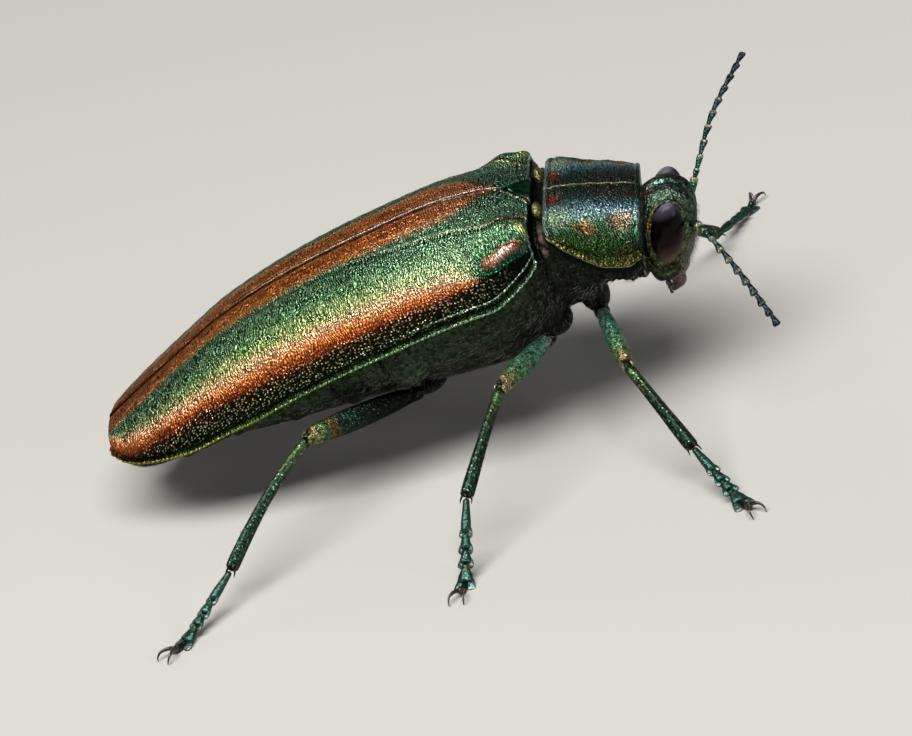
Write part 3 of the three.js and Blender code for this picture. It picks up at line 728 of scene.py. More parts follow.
def shield_marks(tree, place, colour, pits):
    """The front shield's pale middle ridge, its gold dotted side band, its bright rim and, below the
    rim, a near-black painted shade at its edge.
    """
    forward, aside, above = node(tree, PARTS, (place,))
    dotted = node(tree, RANGE, (pits["Distance"], 0.5, 0.2))[0]
    band = node(tree, MATH, (
        node(tree, RANGE, (above, 0.72, 0.52))[0], node(tree, RANGE, (above, 0.39, 0.45))[0],
    ), operation="MULTIPLY")[0]
    colour = node(tree, MIX, {
        COVER: node(tree, MATH, (band, 0.6), operation="MULTIPLY")[0], UNDER: colour, OVER: 0x3a3010,
    }, data_type="RGBA")[MIXED]
    colour = node(tree, MIX, {
        COVER: node(tree, MATH, (
            node(tree, MATH, (band, dotted), operation="MULTIPLY")[0], 0.8,
        ), operation="MULTIPLY")[0], UNDER: colour, OVER: 0xd0b468}, data_type="RGBA")[MIXED]
    hem = node(tree, MATH, (
        node(tree, MATH, (node(tree, RANGE, (above, 0.39, 0.37))[0], 0.8), operation="MULTIPLY")[0],
        node(tree, MATH, (
            node(tree, RANGE, (forward, 26.94, 26.88))[0], 0.5), operation="MULTIPLY")[0],
    ), operation="MAXIMUM")[0]
    colour = node(tree, MIX, {COVER: hem, UNDER: colour, OVER: 0x8aa89c}, data_type="RGBA")[MIXED]
    # Painted shade: the edge below the rim, next to the breastplate, is near black.
    colour = node(tree, MIX, {
        COVER: node(tree, MATH, (
            node(tree, RANGE, (above, 0.345, 0.33))[0], 1.0), operation="MULTIPLY")[0],
        UNDER: colour, OVER: 0x0e140e}, data_type="RGBA")[MIXED]
    ridge_line = node(tree, MATH, (
        node(tree, RANGE, (aside, 0.085, 0.045))[0], node(tree, RANGE, (forward, 31.3, 31.0))[0],
    ), operation="MULTIPLY")[0]
    return node(tree, MIX, {
        COVER: node(tree, MATH, (ridge_line, 0.9), operation="MULTIPLY")[0], UNDER: colour,
        OVER: 0xe8bca8}, data_type="RGBA")[MIXED]


def limb_material(name, stops, fleck_colour, roughness=0.3, metallic=0.88, flecks=0.6,
                  mottling=0.35, relief=1.0, fleck_gap=0.15, tips=None):
    """Metallic chitin of a limb, coloured along its length, with pale flecks painted on its granules
    as glints.

    tips is a colour for a painted highlight on the far end of each joint, where the piece has joints."""
    material, tree = new_material(name)
    place = node(tree, "ShaderNodeAttribute", attribute_name="place")["Vector"]
    joint, _, way = node(tree, PARTS, (place,))
    at = node(tree, "ShaderNodeTexCoord")["Object"]
    grain = node(tree, NOISE, {
        "Vector": at, "Scale": 5200.0, "Detail": 3.0, "Roughness": 0.6, "Distortion": 0.4})[0]
    wavering = node(tree, MATH, (
        way, node(tree, MATH, (grain, 0.24, -0.12), operation="MULTIPLY_ADD")[0],
    ), operation="ADD")[0]
    colour = node(tree, RAMP, (wavering,), stops=stops)[0]
    shade = node(tree, MIX, {
        COVER: 1.0, UNDER: colour,
        OVER: node(tree, RANGE, (grain, 0.40, 0.60, 1 - mottling * 2, 1.1))[0],
    }, data_type="RGBA", blend_type="MULTIPLY")[MIXED]
    if tips:
        end = node(tree, MATH, (
            node(tree, RANGE, (joint, 0.7, 0.9))[0], node(tree, RANGE, (way, 0.9, 0.25))[0],
        ), operation="MULTIPLY")[0]
        shade = node(tree, MIX, {
            COVER: node(tree, MATH, (end, 0.6), operation="MULTIPLY")[0], UNDER: shade, OVER: tips,
        }, data_type="RGBA")[MIXED]
    # Painted glints: pale flecks of uneven strength on the granules.
    granules = node(tree, CELLS, {"Vector": at, "Scale": 1 / (fleck_gap * MM)})
    uneven = node(tree, RANGE, (node(tree, PARTS, (granules["Color"],))[0], 0.4, 0.9))[0]
    bright = node(tree, MATH, (
        node(tree, MATH, (
            node(tree, RANGE, (granules["Distance"], 0.32, 0.14))[0], uneven,
        ), operation="MULTIPLY")[0], flecks), operation="MULTIPLY")[0]
    shade = node(tree, MIX, {
        COVER: bright, UNDER: shade, OVER: fleck_colour}, data_type="RGBA")[MIXED]
    bumps = node(tree, BUMP, {
        "Strength": 0.9 * relief, "Distance": 0.00006, "Height": granules["Distance"],
    }, invert=True)[0]
    bumps = node(tree, BUMP, {
        "Strength": 0.8 * relief, "Distance": 0.00005, "Height": grain, "Normal": bumps})[0]
    shader = node(tree, "ShaderNodeBsdfPrincipled", {
        "Base Color": shade, "Metallic": metallic, "Roughness": roughness, "Normal": bumps,
        "Specular Tint": EDGE_TINT})["BSDF"]
    node(tree, "ShaderNodeOutputMaterial", {"Surface": shader})
    return material


def eye_material():
    """A smooth, wet-looking compound eye: nearly black, browner below, with a painted pale reflection
    at its top and very fine facets.
    """
    material, tree = new_material("polished dark eye")
    place = node(tree, "ShaderNodeAttribute", attribute_name="place")["Vector"]
    height = node(tree, PARTS, (place,))[2]
    level = node(tree, RANGE, {"Value": height, "From Min": -0.9, "From Max": 2.3})[0]
    # Painted reflection of the sky: the top of the eye is pale grey-violet.
    colour = node(tree, RAMP, (level,), stops=[
        (0.0, 0x60503f), (0.2, 0x3c281e), (0.36, 0x180907), (0.52, 0x060001), (0.76, 0x080507),
        (0.9, 0x38343e), (1.0, 0x706c7a)])[0]
    # Facets are about 0.03 mm across, drawn at 0.06 mm so that they show at all.
    facets = node(tree, CELLS, {"Vector": place, "Scale": 1 / 0.06})["Distance"]
    relief = node(tree, BUMP, {"Strength": 0.12, "Distance": 0.00001, "Height": facets})[0]
    shader = node(tree, "ShaderNodeBsdfPrincipled", {
        "Base Color": colour, "Roughness": 0.2, "Normal": relief, "IOR": 1.18})["BSDF"]
    node(tree, "ShaderNodeOutputMaterial", {"Surface": shader})
    return material


def horn_material(name, hex_colour, roughness=0.35):
    """Hard bare chitin of claws and jaws, slightly streaked."""
    material, tree = new_material(name)
    at = node(tree, "ShaderNodeTexCoord")["Object"]
    streaks = node(tree, NOISE, {"Vector": at, "Scale": 2500.0, "Detail": 3.0})[0]
    tone = node(tree, RANGE, {"Value": streaks, "To Min": 0.6, "To Max": 1.35})[0]
    colour = node(tree, MIX, {
        0: 1.0, 6: hex_colour, 7: tone}, data_type="RGBA", blend_type="MULTIPLY")[2]
    relief = node(tree, BUMP, {"Strength": 0.4, "Distance": 0.00002, "Height": streaks})[0]
    shader = node(tree, "ShaderNodeBsdfPrincipled", {
        "Base Color": colour, "Roughness": roughness, "Normal": relief, "IOR": 1.56,
        "Coat Weight": 0.3, "Coat Roughness": 0.2})["BSDF"]
    node(tree, "ShaderNodeOutputMaterial", {"Surface": shader})
    return material


def hair_material():
    """Short grey hairs, slightly shiny."""
    material, tree = new_material("grey down")
    at = node(tree, "ShaderNodeTexCoord")["Object"]
    mottle = node(tree, NOISE, {"Vector": at, "Scale": 900.0, "Detail": 1.0})[0]
    colour = node(tree, RAMP, (mottle,), stops=[(0.3, 0x6c6a5c), (0.7, 0xa8a598)])[0]
    shader = node(tree, "ShaderNodeBsdfPrincipled", {
        "Base Color": colour, "Roughness": 0.45, "IOR": 1.55})["BSDF"]
    node(tree, "ShaderNodeOutputMaterial", {"Surface": shader})
    return material


def shield_place(x, y, z):
    """A place on the front shield, its height taken from the side margin."""
    return x, y, z - float(pronotum_ridge(x) - pronotum_depth(x))


WING_CHITIN = wing_case_material()
SHIELD_CHITIN = patched_material("green pitted chitin with a painted blue reflection", [
    # Painted highlight: the pale blue band a little in from each side is a reflection of the sky
    # painted into the colour.
    (0.00, 0x2c4a3a), (0.12, 0x2c4438), (0.26, 0x384e50), (0.38, 0x5c8890), (0.50, 0x9cc0c8),
    (0.60, 0x84ac9c), (0.70, 0x3c7050), (0.84, 0x203c22), (0.95, 0x2c4418), (1.00, 0x2a3c20),
], [
    (shield_place(27.15, 1.35, 4.15), 0.9, 0.95, 0xa85838),
    # Painted highlight: a pale patch at the rear of that band.
    (shield_place(27.35, 3.0, 3.9), 1.3, 0.95, 0xc4dcb4),
    (shield_place(29.6, 1.0, 3.45), 1.3, 0.55, 0x54403c),
    (shield_place(31.0, 1.2, 2.95), 0.9, 0.5, 0x6a4a34),
    (shield_place(28.68, 3.66, 3.36), 0.8, 0.9, 0xc48c50),
    (shield_place(30.51, 3.11, 2.66), 1.0, 0.95, 0xd8a684),
    (shield_place(29.5, 4.45, 2.2), 1.1, 0.7, 0x28401c),
    (shield_place(30.6, 4.1, 1.3), 0.9, 0.8, 0x4a3414),
], pit_size=0.12, roughness=0.34, marks=shield_marks, wrinkles=0.3)
HEAD_CHITIN = patched_material("dark green pitted chitin of the head", [
    (0.00, 0x587468), (0.04, 0x3a4e44), (0.20, 0x46584a), (0.34, 0x506248), (0.42, 0x58603c),
    (0.52, 0x343c24), (1.00, 0x201f12),
], [
    ((31.9, 1.7, 1.2), 1.0, 0.9, 0xc89c60),
    ((32.3, 0.15, 2.3), 0.55, 0.75, 0x8cb8ac),
    ((31.8, 0.45, 2.45), 0.4, 0.9, 0xa86840),
    ((33.4, 0.0, -1.5), 2.2, 0.85, 0x22220f),
    ((32.2, 2.0, -1.4), 1.3, 0.9, 0x1e170b),
    ((32.6, 0.9, -2.6), 1.5, 0.95, 0x241a10),
], pit_size=0.15, fleck=(0xb8c090, 0.6))
UNDERSIDE_CHITIN = patched_material("dark bronze-green chitin", [
    (0.00, 0x12120b), (0.50, 0x12140d), (0.78, 0x1a1e14), (0.93, 0x232a1c), (1.00, 0x2c3c28),
], [
    # Painted glint: a green sheen on the raised plate before the belly.
    ((17.4, 4.8, -0.7), 1.3, 0.6, 0x4c7058),
    ((0.2, 0.0, -2.9), 1.1, 0.95, 0xb87a5c),
], pit_size=0.2, metallic=0.7, roughness=0.42, fleck=(0x7c8670, 0.35))
SCUTELLUM_CHITIN = patched_material("smooth dark green chitin", [
    (0.00, 0x24543a), (0.16, 0x2c6440), (0.20, 0xc8b890), (1.00, 0xd0c4a0),
], [], pit_size=0.4, roughness=0.24, fleck=(0x6a9a70, 0.1))
THIGH_CHITIN = limb_material("granular teal chitin", [
    (0.00, 0x141a16), (0.10, 0xa8c0b8), (0.20, 0x64a08c), (0.45, 0x5c9478), (0.70, 0x689a6c),
    (0.84, 0x7c9058), (0.91, 0xa08c58), (0.95, 0xa89c78), (0.97, 0x3c2a1c), (1.00, 0x181410),
], 0xcce4cc, metallic=0.65, flecks=0.85, mottling=0.42, fleck_gap=0.12)
# Painted shade: the hind thighs take a darker copy of the thigh colours, as if in the shadow of the
# body.
SHADED_HIND_THIGH_CHITIN = limb_material("thigh chitin darkened by painted shade, for the hind thighs", [
    (0.00, 0x0c100a), (0.45, 0x121c12), (0.70, 0x1c3828), (0.80, 0x6c5430), (0.85, 0x34603e),
    (0.91, 0x6c7c48), (0.95, 0xb8a870), (0.98, 0x3a2c18), (1.00, 0x14120c),
], 0x9cc4a4, metallic=0.75, flecks=0.6, fleck_gap=0.12)
SHIN_CHITIN = limb_material("dark green chitin", [
    (0.00, 0x1c1408), (0.06, 0x4c6440), (0.18, 0x3c4c2a), (0.36, 0x24382a), (0.65, 0x1c3422),
    (0.93, 0x203c2c), (1.00, 0x1a1c14),
], 0xb4d0b0, metallic=0.75, flecks=0.75, mottling=0.25, relief=0.6, fleck_gap=0.17)
FOOT_CHITIN = limb_material("blue-green chitin of the feet", [
    (0.00, 0x1c2a20), (0.15, 0x3c4c30), (0.40, 0x2c4c3c), (0.78, 0x345850), (0.88, 0x4c6a62),
    (0.95, 0x889488), (1.00, 0x2a2620),
], 0x9ac8b8, metallic=0.7, flecks=0.35, mottling=0.22, relief=0.5, fleck_gap=0.18)
# The feelers' joint ends are given a cream painted highlight.
FEELER_CHITIN = limb_material("blue-grey chitin of the feelers", [
    (0.00, 0x2c6450), (0.25, 0x285048), (0.55, 0x2c4046), (1.00, 0x30363e),
], 0xc8ccb8, roughness=0.36, flecks=0.35, tips=0xc4b48c)
HIP_CHITIN = limb_material("black-green chitin of the hips", [
    (0.00, 0x0c0e08), (1.00, 0x10160e),
], 0x5a6a5a, roughness=0.4, metallic=0.6, flecks=0.2)
HINGE_CHITIN = limb_material("gold-green chitin of the wing hinges", [
    (0.00, 0x7a8050), (1.00, 0xa09c68),
], 0xe0dcb0, flecks=0.5)
MEMBRANE = patched_material("wrinkled brown skin between the plates", [
    (0.00, 0x1c1612), (0.50, 0x241a16), (0.62, 0x5a443e), (0.80, 0x6a504a), (1.00, 0x2a201c),
], [], pit_size=0.3, metallic=0.0, roughness=0.5, fleck=(0xa8948c, 0.4))
EYE_SURFACE = eye_material()
CLAW_HORN = horn_material("dark brown claw horn", 0x2c2018, 0.28)
JAW_HORN = horn_material("brown jaw horn", 0x4a3624, 0.4)
PAD_SKIN = horn_material("pale sole pads", 0x8f9a8c, 0.6)
DOWN = hair_material()


# ---------------------------------------------------------------- wing cases

def wing_surface(x, turn, side, inward):
    """A wing case's outer face, or its inner one where inward is 1."""
    width = half_width(x) - inward * SHELL
    tall = depth(x) - inward * SHELL
    notch = scutellum_half_width(x)
    edge = GAP / 2 + notch + np.where(notch > 0, GAP / 2, 0)
    y = np.maximum(width * np.sin(turn) ** WING_CURVE[0], edge)
    z = tall * np.maximum(np.cos(turn), 0) ** WING_CURVE[1]
    return np.stack([x, side * y, ridge(x) - depth(x) + z + shoulder(x, y)], -1)


# Stripe edges: the sutural one in millimetres, the side ones as fractions of the way round.
sutural_edge = profile([[0, 1.7], [3, 1.85], [5, 1.75], [10, 1.9], [19, 2.05], [21.5, 1.9],
                        [23.9, 0.8], [24.9, 0.1]])
side_stripe_top = profile([[0, 0.6], [1.7, 0.66], [5, 0.63], [9, 0.635], [13, 0.645], [17, 0.66],
                           [20, 0.69], [23.1, 0.755], [24.5, 0.79], [WING_BASE, 0.8]])
side_stripe_foot = profile([[0, 0.93], [1.3, 0.91], [4, 0.8], [7, 0.77], [9, 0.79], [13, 0.81],
                            [20, 0.81], [23.1, 0.78], [24.5, 0.805], [WING_BASE, 0.81]])
first_rib = profile([[0, 0.5], [3, 0.36], [6, 0.26], [10, 0.255], [15, 0.27], [17, 0.305],
                     [19.85, 0.36], [22.5, 0.4], [24.35, 0.455], [25.7, 0.38]])

callus_line = profile([[23, 5.5], [23.45, 5.46], [24, 5.44], [24.65, 5.3], [25.1, 4.75],
                       [25.5, 4.1]])


def stripe_number(x, around, whole):
    """0 at the seam, 1 and 2 to 3 at the copper stripes' edges, 4 at the outer margin."""
    fraction = around / whole
    edges = [0 * x, np.clip(sutural_edge(x) / whole, 0.01, 0.56), side_stripe_top(x),
             side_stripe_foot(x), 1 + 0 * x]
    number = np.zeros_like(fraction)
    for i in range(4):
        part = (fraction - edges[i]) / (edges[i + 1] - edges[i])
        number += np.clip(part, 0, 1)
    return number


def wing_relief(x, y, around, whole):
    """Ribs, seams, the side rim and the shoulder swellings, as a height in millimetres."""
    fraction = around / whole
    from_rim = whole - around
    granules = 1 + 0.45 * np.cos(2 * np.pi * x / 0.3)
    height = 0.04 * bump(around, 0, 0.08) - 0.04 * bump(around, 0.2, 0.06)
    height -= 0.035 * bump(around, 1.0, 0.1) * rising(x, 1, 4) * rising(x, 24, 21)
    rib = (fraction - first_rib(x)) * whole
    height += rising(x, 4, 16) * (0.035 * bump(rib, -0.22, 0.16) - 0.035 * bump(rib, 0, 0.13))
    height += 0.035 * bump((fraction - 0.52) * whole, 0, 0.2) * rising(x, 2, 8)
    height += 0.04 * bump((fraction - side_stripe_top(x)) * whole, 0, 0.22) * rising(x, 2, 8)
    height += 0.035 * bump((fraction - side_stripe_foot(x)) * whole, 0.1, 0.15)
    height += 0.17 * bump(around - callus_line(x), 0, 0.32) * rising(x, 23, 24.3) * rising(
        x, 26.1, 25)
    height += 0.1 * granules * bump(from_rim, 0.1, 0.09) - 0.08 * bump(from_rim, 0.32, 0.08)
    height -= 0.06 * bump(from_rim, 0.75, 0.07) * rising(x, 12, 16)
    height += 0.03 * granules * bump(from_rim, 0.6, 0.07) * rising(x, 12, 16)
    height += 0.24 * bump(x, 25.72, 0.3) * bump(y, 4.1, 0.45)
    height += 0.008 * np.sin(2 * np.pi * (x / 0.9 + 0.35 * np.sin(around * 1.7)))
    height -= 0.1 * bump(x, 26.0, 0.12)
    tail = np.clip((0.3 - x) / 0.3, 0, 1)
    base = np.clip((x - WING_BASE + 0.25) / 0.25, 0, 1)
    height -= 0.2 * (1 - np.sqrt(1 - 0.96 * tail ** 2)) + 0.15 * (1 - np.sqrt(1 - 0.96 * base ** 2))
    return height


WING_ROWS = 400
WING_COLUMNS = 30
WING_FINENESS = 5


def wing_grid(side, columns, inward):
    x = np.linspace(0, WING_BASE, WING_ROWS)[:, None] + np.zeros((1, columns))
    notch = scutellum_half_width(x)
    edge = GAP / 2 + notch + np.where(notch > 0, GAP / 2, 0)
    first = np.arcsin((edge / half_width(x)) ** (1 / WING_CURVE[0]))
    turn = lerp(first, np.pi / 2, np.linspace(0, 1, columns)[None])
    return x, wing_surface(x, turn, side, inward)


for name, side in SIDES.items():
    x, outer = wing_grid(side, WING_COLUMNS * WING_FINENESS + 1, 0)
    inner = wing_grid(side, WING_COLUMNS + 1, 1)[1]
    steps = np.linalg.norm(np.diff(outer, axis=1), axis=-1)
    around = np.concatenate([np.zeros((WING_ROWS, 1)), np.cumsum(steps, 1)], 1)
    whole = around[:, -1:]
    from_rib = (around / whole - first_rib(x)) * whole
    place = np.stack([x, around, stripe_number(x, around, whole), from_rib, whole - around,
                      around - callus_line(x)], -1)
    relief = wing_relief(x, np.abs(outer[..., 1]), around, whole)
    finished = raised(outer, relief if side == LEFT else -relief)
    piece = make_piece(f"wing_case_{name}", [walled(finished, inner, place)],
                       from_body, WING_CHITIN)
    stands_for(piece, f"elytron_{name}")


def scutellum_form():
    """The small blunt shield between the wing cases' bases, slightly domed."""
    blunting, dome = 0.25, 0.06
    way = np.linspace(0, 1, 24)[:, None]
    offset = np.linspace(-1, 1, 33)[None]
    x = WING_BASE - SCUTELLUM_LENGTH * (1 - way) * (1 - blunting) + 0 * offset
    half = scutellum_half_width(x) - GAP / 2
    z = ridge(x) + dome * (1 - offset ** 2) + 0.05 * np.sqrt(1 - 0.98 * offset ** 2)
    outer = np.stack([x, half * offset, z], -1)
    inner = np.stack([x, half * offset, ridge(x) - SHELL + 0 * offset], -1)[:, ::4]
    return walled(outer, inner, np.abs(outer))


stands_for(make_piece("small_shield", [scutellum_form()], from_body, SCUTELLUM_CHITIN),
           "scutellum")


# ---------------------------------------------------------------- body under the wing cases

def body_surface(x, turn):
    """The body's outline under the wing cases: a narrow back above and the belly below."""
    above = np.sin(turn) > 0
    width = half_width(x) - BODY_INSET
    height = np.where(above, np.maximum(LEAST_BACK, depth(x) - BODY_INSET), belly(x))
    curve = [np.where(above, WING_CURVE[k], BELLY_CURVE[k]) for k in (0, 1)]
    y = np.sign(np.cos(turn)) * width * np.abs(np.cos(turn)) ** curve[0]
    z = np.sign(np.sin(turn)) * height * np.abs(np.sin(turn)) ** curve[1]
    return np.stack([x + 0 * turn, y, ridge(x) - depth(x) + z], -1)


def raised_rings(rings, height):
    """Moves each point of a closed loft along its own outward normal."""
    around = np.roll(rings, -1, 1) - np.roll(rings, 1, 1)
    normal = np.cross(np.gradient(rings, axis=0), around)
    normal /= np.maximum(np.linalg.norm(normal, axis=-1, keepdims=True), 1e-12)
    middle = rings.mean(1, keepdims=True)
    inward = np.einsum("ijk,ijk->ij", normal, rings - middle).mean() < 0
    return rings + (-normal if inward else normal) * height[..., None]


def seam(x, drop, start, end, width=0.09, deep=0.1):
    """A groove between two places, each given as x and degrees below the margin."""
    radius = 4.6
    a = np.array([start[0], math.radians(start[1]) * radius])
    b = np.array([end[0], math.radians(end[1]) * radius])
    here = np.stack([x + 0 * drop, np.radians(drop) * radius + 0 * x], -1)
    t = np.clip(((here - a) @ (b - a)) / ((b - a) @ (b - a)), 0, 1)
    reach = np.linalg.norm(here - a - t[..., None] * (b - a), axis=-1)
    return -deep * np.exp(-(reach / width) ** 2)


def thorax_relief(x, drop):
    """The plates of the thorax sides, parted by grooves, and the raised plate before the belly."""
    height = seam(x, drop, (23.35, -5), (21.9, 62)) + seam(x, drop, (23.2, 22), (17.3, 17))
    height += seam(x, drop, (26.3, 18), (23.6, 34)) + seam(x, drop, (21.9, 62), (18.1, 70))
    height += seam(x, drop, (25.2, -5), (24.6, 50)) + seam(x, drop, (26.0, 90), (17, 90), 0.12)
    height += 0.16 * rising(x, 17.9, 17.7) * rising(drop, -8, 4)
    height += 0.3 * bump(x, 17.6, 0.8) * bump(drop, 14, 12)
    return height


BODY_SIDES = 128


def body_slice(start, end, relief):
    rows = max(8, int((end - start) / 0.07))
    x = np.linspace(start, end, rows)[:, None]
    turn = np.linspace(0, 2 * np.pi, BODY_SIDES, endpoint=False)[None]
    rings = body_surface(x, turn)
    drop = np.degrees(np.arctan2(-np.sin(turn), np.abs(np.cos(turn))))
    rings = raised_rings(rings, relief(x, drop))
    place = rings * [1, 0, 1]
    place[..., 1] = np.abs(rings[..., 1])
    return tube(rings, place)


def belly_plate_relief(start, end):
    """A belly plate stands out at its hind edge, over the next one, and dips at its front."""
    def relief(x, drop):
        lip = 0.1 * rising(x, start + 0.9, start + 0.1) - 0.3 * rising(x, start + 0.14, start)
        tuck = -0.16 * rising(x, end - 0.35, end)
        fold = seam(x, drop, (start, 24), (end, 24), 0.12, 0.09)
        mid = 0.06 * bump(drop, 90, 12)
        return (lip + tuck + fold + mid) * rising(drop, -20, 5)
    return relief


SEGMENT_ENDS = [0.25, 4.2, 7.4, 10.5, 13.6, 16.6]
METATHORAX_FRONT = 23.3
for i in range(5):
    start, end = SEGMENT_ENDS[i], SEGMENT_ENDS[i + 1]
    forms = [body_slice(start + GAP, end + 0.15, belly_plate_relief(start, end))]
    if i == 0:
        forms.append(ball((0.7, 0, -2.8), (0.75, 1.25, 0.55)))
    piece = make_piece(f"belly_plate_{5 - i}", forms, from_body, UNDERSIDE_CHITIN)
    stands_for(piece, f"abdomen_segment_{5 - i}")
for name, start, end in (("metathorax", SEGMENT_ENDS[-1] + 0.02, METATHORAX_FRONT),
                         ("mesothorax", METATHORAX_FRONT + 0.02, NECK - GAP)):
    piece = make_piece(f"{name}_plates", [body_slice(start, end, thorax_relief)], from_body,
                       UNDERSIDE_CHITIN)
    stands_for(piece, name)


def folded_skin_relief(x, drop):
    return 0.12 + 0.05 * np.sin(2 * np.pi * x / 0.2) + 0.03 * np.sin(np.radians(drop) * 9)


def rides_unseen(piece):
    """A piece that stands for no solid of its own rides with the body."""
    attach(piece, "root")


def hinge_forms():
    """A knob on each side where the wing case is hinged, in front of its base."""
    return [ball((26.43, side * 1.9, 4.0), (0.27, 0.55, 0.5)) for side in SIDES.values()]


def skin_forms():
    """Folds of the soft skin on each side between the wing case and the front shield."""
    forms = []
    for side in SIDES.values():
        forms += [ball((26.42, side * 3.1, 3.5), (0.2, 0.42, 0.34)),
                  ball((26.42, side * 3.55, 3.1), (0.22, 0.34, 0.42)),
                  ball((26.42, side * 3.95, 2.65), (0.2, 0.3, 0.4))]
    return [mirrored_place(form) for form in forms]


rides_unseen(make_piece("wing_hinges", hinge_forms(), from_body, HINGE_CHITIN))
rides_unseen(make_piece("hinge_skin", skin_forms(), from_body, MEMBRANE))
rides_unseen(make_piece("collar", [body_slice(WING_BASE + 0.06, NECK, folded_skin_relief)],
                        from_body, UNDERSIDE_CHITIN))


# ---------------------------------------------------------------- front shield and breastplate

SHIELD_EDGE = 0.3
SHIELD_ROWS = 110
SHIELD_COLUMNS = 40


def shield_relief(x, y, turn):
    """The middle ridge, the rims and the shallow dents of the front shield."""
    from_side = np.pi / 2 - np.abs(turn)
    height = 0.05 * bump(y, 0, 0.06) - 0.04 * bump(np.abs(y), 0.2, 0.09)
    height -= 0.2 * bump(x, 28.6, 0.55) * bump(np.abs(y), 3.45, 0.5)
    height -= 0.16 * bump(x, 30.4, 0.5) * bump(np.abs(y), 3.0, 0.45)
    height -= 0.1 * bump(x, 27.4, 0.4) * bump(np.abs(y), 1.3, 0.7)
    height -= 0.07 * bump(x, 27.05, 0.09) + 0.06 * bump(x, 31.2, 0.08)
    height += 0.09 * bump(from_side, 0.03, 0.05) - 0.08 * bump(from_side, 0.17, 0.05)
    height += 0.015 * np.sin(2 * np.pi * x / 0.8 + 1.5 * np.sin(y * 1.8))
    rear = np.clip((NECK + 0.25 - x) / 0.25, 0, 1)
    front = np.clip((x - HEAD_BASE + 0.2) / 0.2, 0, 1)
    return height - 0.16 * (2 - np.sqrt(1 - 0.96 * rear ** 2) - np.sqrt(1 - 0.96 * front ** 2))


def breast_relief(x, y, turn):
    """Cross wrinkles on the breastplate and its keel between the front hips."""
    height = 0.03 * np.sin(2 * np.pi * x / 0.45 + 0.8 * np.sin(y * 2.2))
    height += 0.22 * bump(y, 0, 0.7) * rising(x, 30.6, 28.5)
    return height - 0.1 * bump(x, 31.1, 0.12) - 0.1 * bump(np.abs(turn), 1.1, 0.06)


def front_thorax(upper):
    columns = SHIELD_COLUMNS * WING_FINENESS + 1
    way = np.linspace(0, 1, SHIELD_ROWS)[:, None]
    turn = np.linspace(-np.pi / 2, np.pi / 2, columns)[None]
    x = lerp(NECK, HEAD_BASE, way) + 0 * turn
    width = (pronotum_half_width if upper else throat_half_width)(x)
    height = pronotum_depth(x) - SHIELD_EDGE if upper else throat(x)
    y = np.sign(turn) * width * np.abs(np.sin(turn)) ** PRONOTUM_CURVE[0]
    z = height * np.maximum(np.cos(turn), 0) ** PRONOTUM_CURVE[1]
    margin = pronotum_ridge(x) - pronotum_depth(x) - (0 if upper else GAP)
    rim = SHIELD_EDGE if upper else -SHIELD_EDGE
    outer_z = margin + rim + (z if upper else -z)

    def leaning(level):
        return x + way * NOD * (level - pronotum_ridge(HEAD_BASE))

    outer = np.stack([leaning(outer_z), y, outer_z], -1)
    inner = np.stack([leaning(margin), y, margin], -1)[:, ::WING_FINENESS]
    place = np.stack([x, np.abs(y), outer_z - margin if upper else outer_z], -1)
    relief = (shield_relief if upper else breast_relief)(x, y, turn)
    finished = raised(outer, relief if upper else -relief)
    return walled(finished, inner, place)


stands_for(make_piece("front_shield", [front_thorax(True)], from_body, SHIELD_CHITIN),
           "pronotum")
stands_for(make_piece("breastplate", [front_thorax(False)], from_body, UNDERSIDE_CHITIN),
           "prosternum")


# ---------------------------------------------------------------- head, eyes, jaws and feelers

HEAD_CENTRE, HEAD_RADII = (32.5, 0, -0.1), (2.1, 2.4, 2.65)
HEAD_GRID = (144, 112)
EYE_CENTRE, EYE_RADII = (32.86, 2, 0.57), (0.95, 0.75, 1.6)
FEELER_BASE = (33.35, 1.35, 0.35)


def sided(point, side):
    return np.asarray(point, float) * [1, side, 1]


def head_shape(rings):
    """Presses the head's features into an ellipsoid: crown groove, brow, eye rims and sockets."""
    centre = np.array(HEAD_CENTRE)
    away = (rings - centre) / np.array(HEAD_RADII) ** 2
    away /= np.linalg.norm(away, axis=-1, keepdims=True)
    x, y, z = np.moveaxis(rings, -1, 0)
    side_y = np.abs(y)
    eye = np.sqrt(((x - EYE_CENTRE[0]) / EYE_RADII[0]) ** 2
                  + ((side_y - EYE_CENTRE[1]) / EYE_RADII[1]) ** 2
                  + ((z - EYE_CENTRE[2]) / EYE_RADII[2]) ** 2)
    socket = np.sqrt((x - FEELER_BASE[0] - 0.4) ** 2 + (side_y - FEELER_BASE[1] + 0.1) ** 2
                     + (z - FEELER_BASE[2] + 0.3) ** 2)
    height = -0.16 * bump(y, 0, 0.16) * rising(z, -1.5, -0.4)
    height += (0.14 * bump(eye, 1.16, 0.1) - 0.3 * bump(socket, 0, 0.35)
               + 0.1 * bump(socket, 0.6, 0.15))
    height -= 0.25 * bump(y, 0, 0.8) * bump(z, -0.6, 0.9) * rising(x, 32.6, 33.6)
    height += 0.12 * bump(side_y, 0.8, 0.35) * bump(z, 1.6, 0.9)
    height -= 0.12 * bump(z, -1.75, 0.1) * rising(x, 32.4, 33)
    shaped = rings + away * height[..., None]
    behind = shaped[..., 0] < centre[0]
    tuck = 1 - 0.5 * behind * rising(-shaped[..., 2], 0.2, 1.9)
    shaped[..., 0] = centre[0] + (shaped[..., 0] - centre[0]) * tuck
    shaped[..., 0] = np.maximum(HEAD_BASE + GAP, shaped[..., 0])
    return nodded(shaped)


head = mirrored_place(ball(HEAD_CENTRE, HEAD_RADII, *HEAD_GRID, head_shape))
stands_for(make_piece("head_capsule", [head], from_body, HEAD_CHITIN), "head")

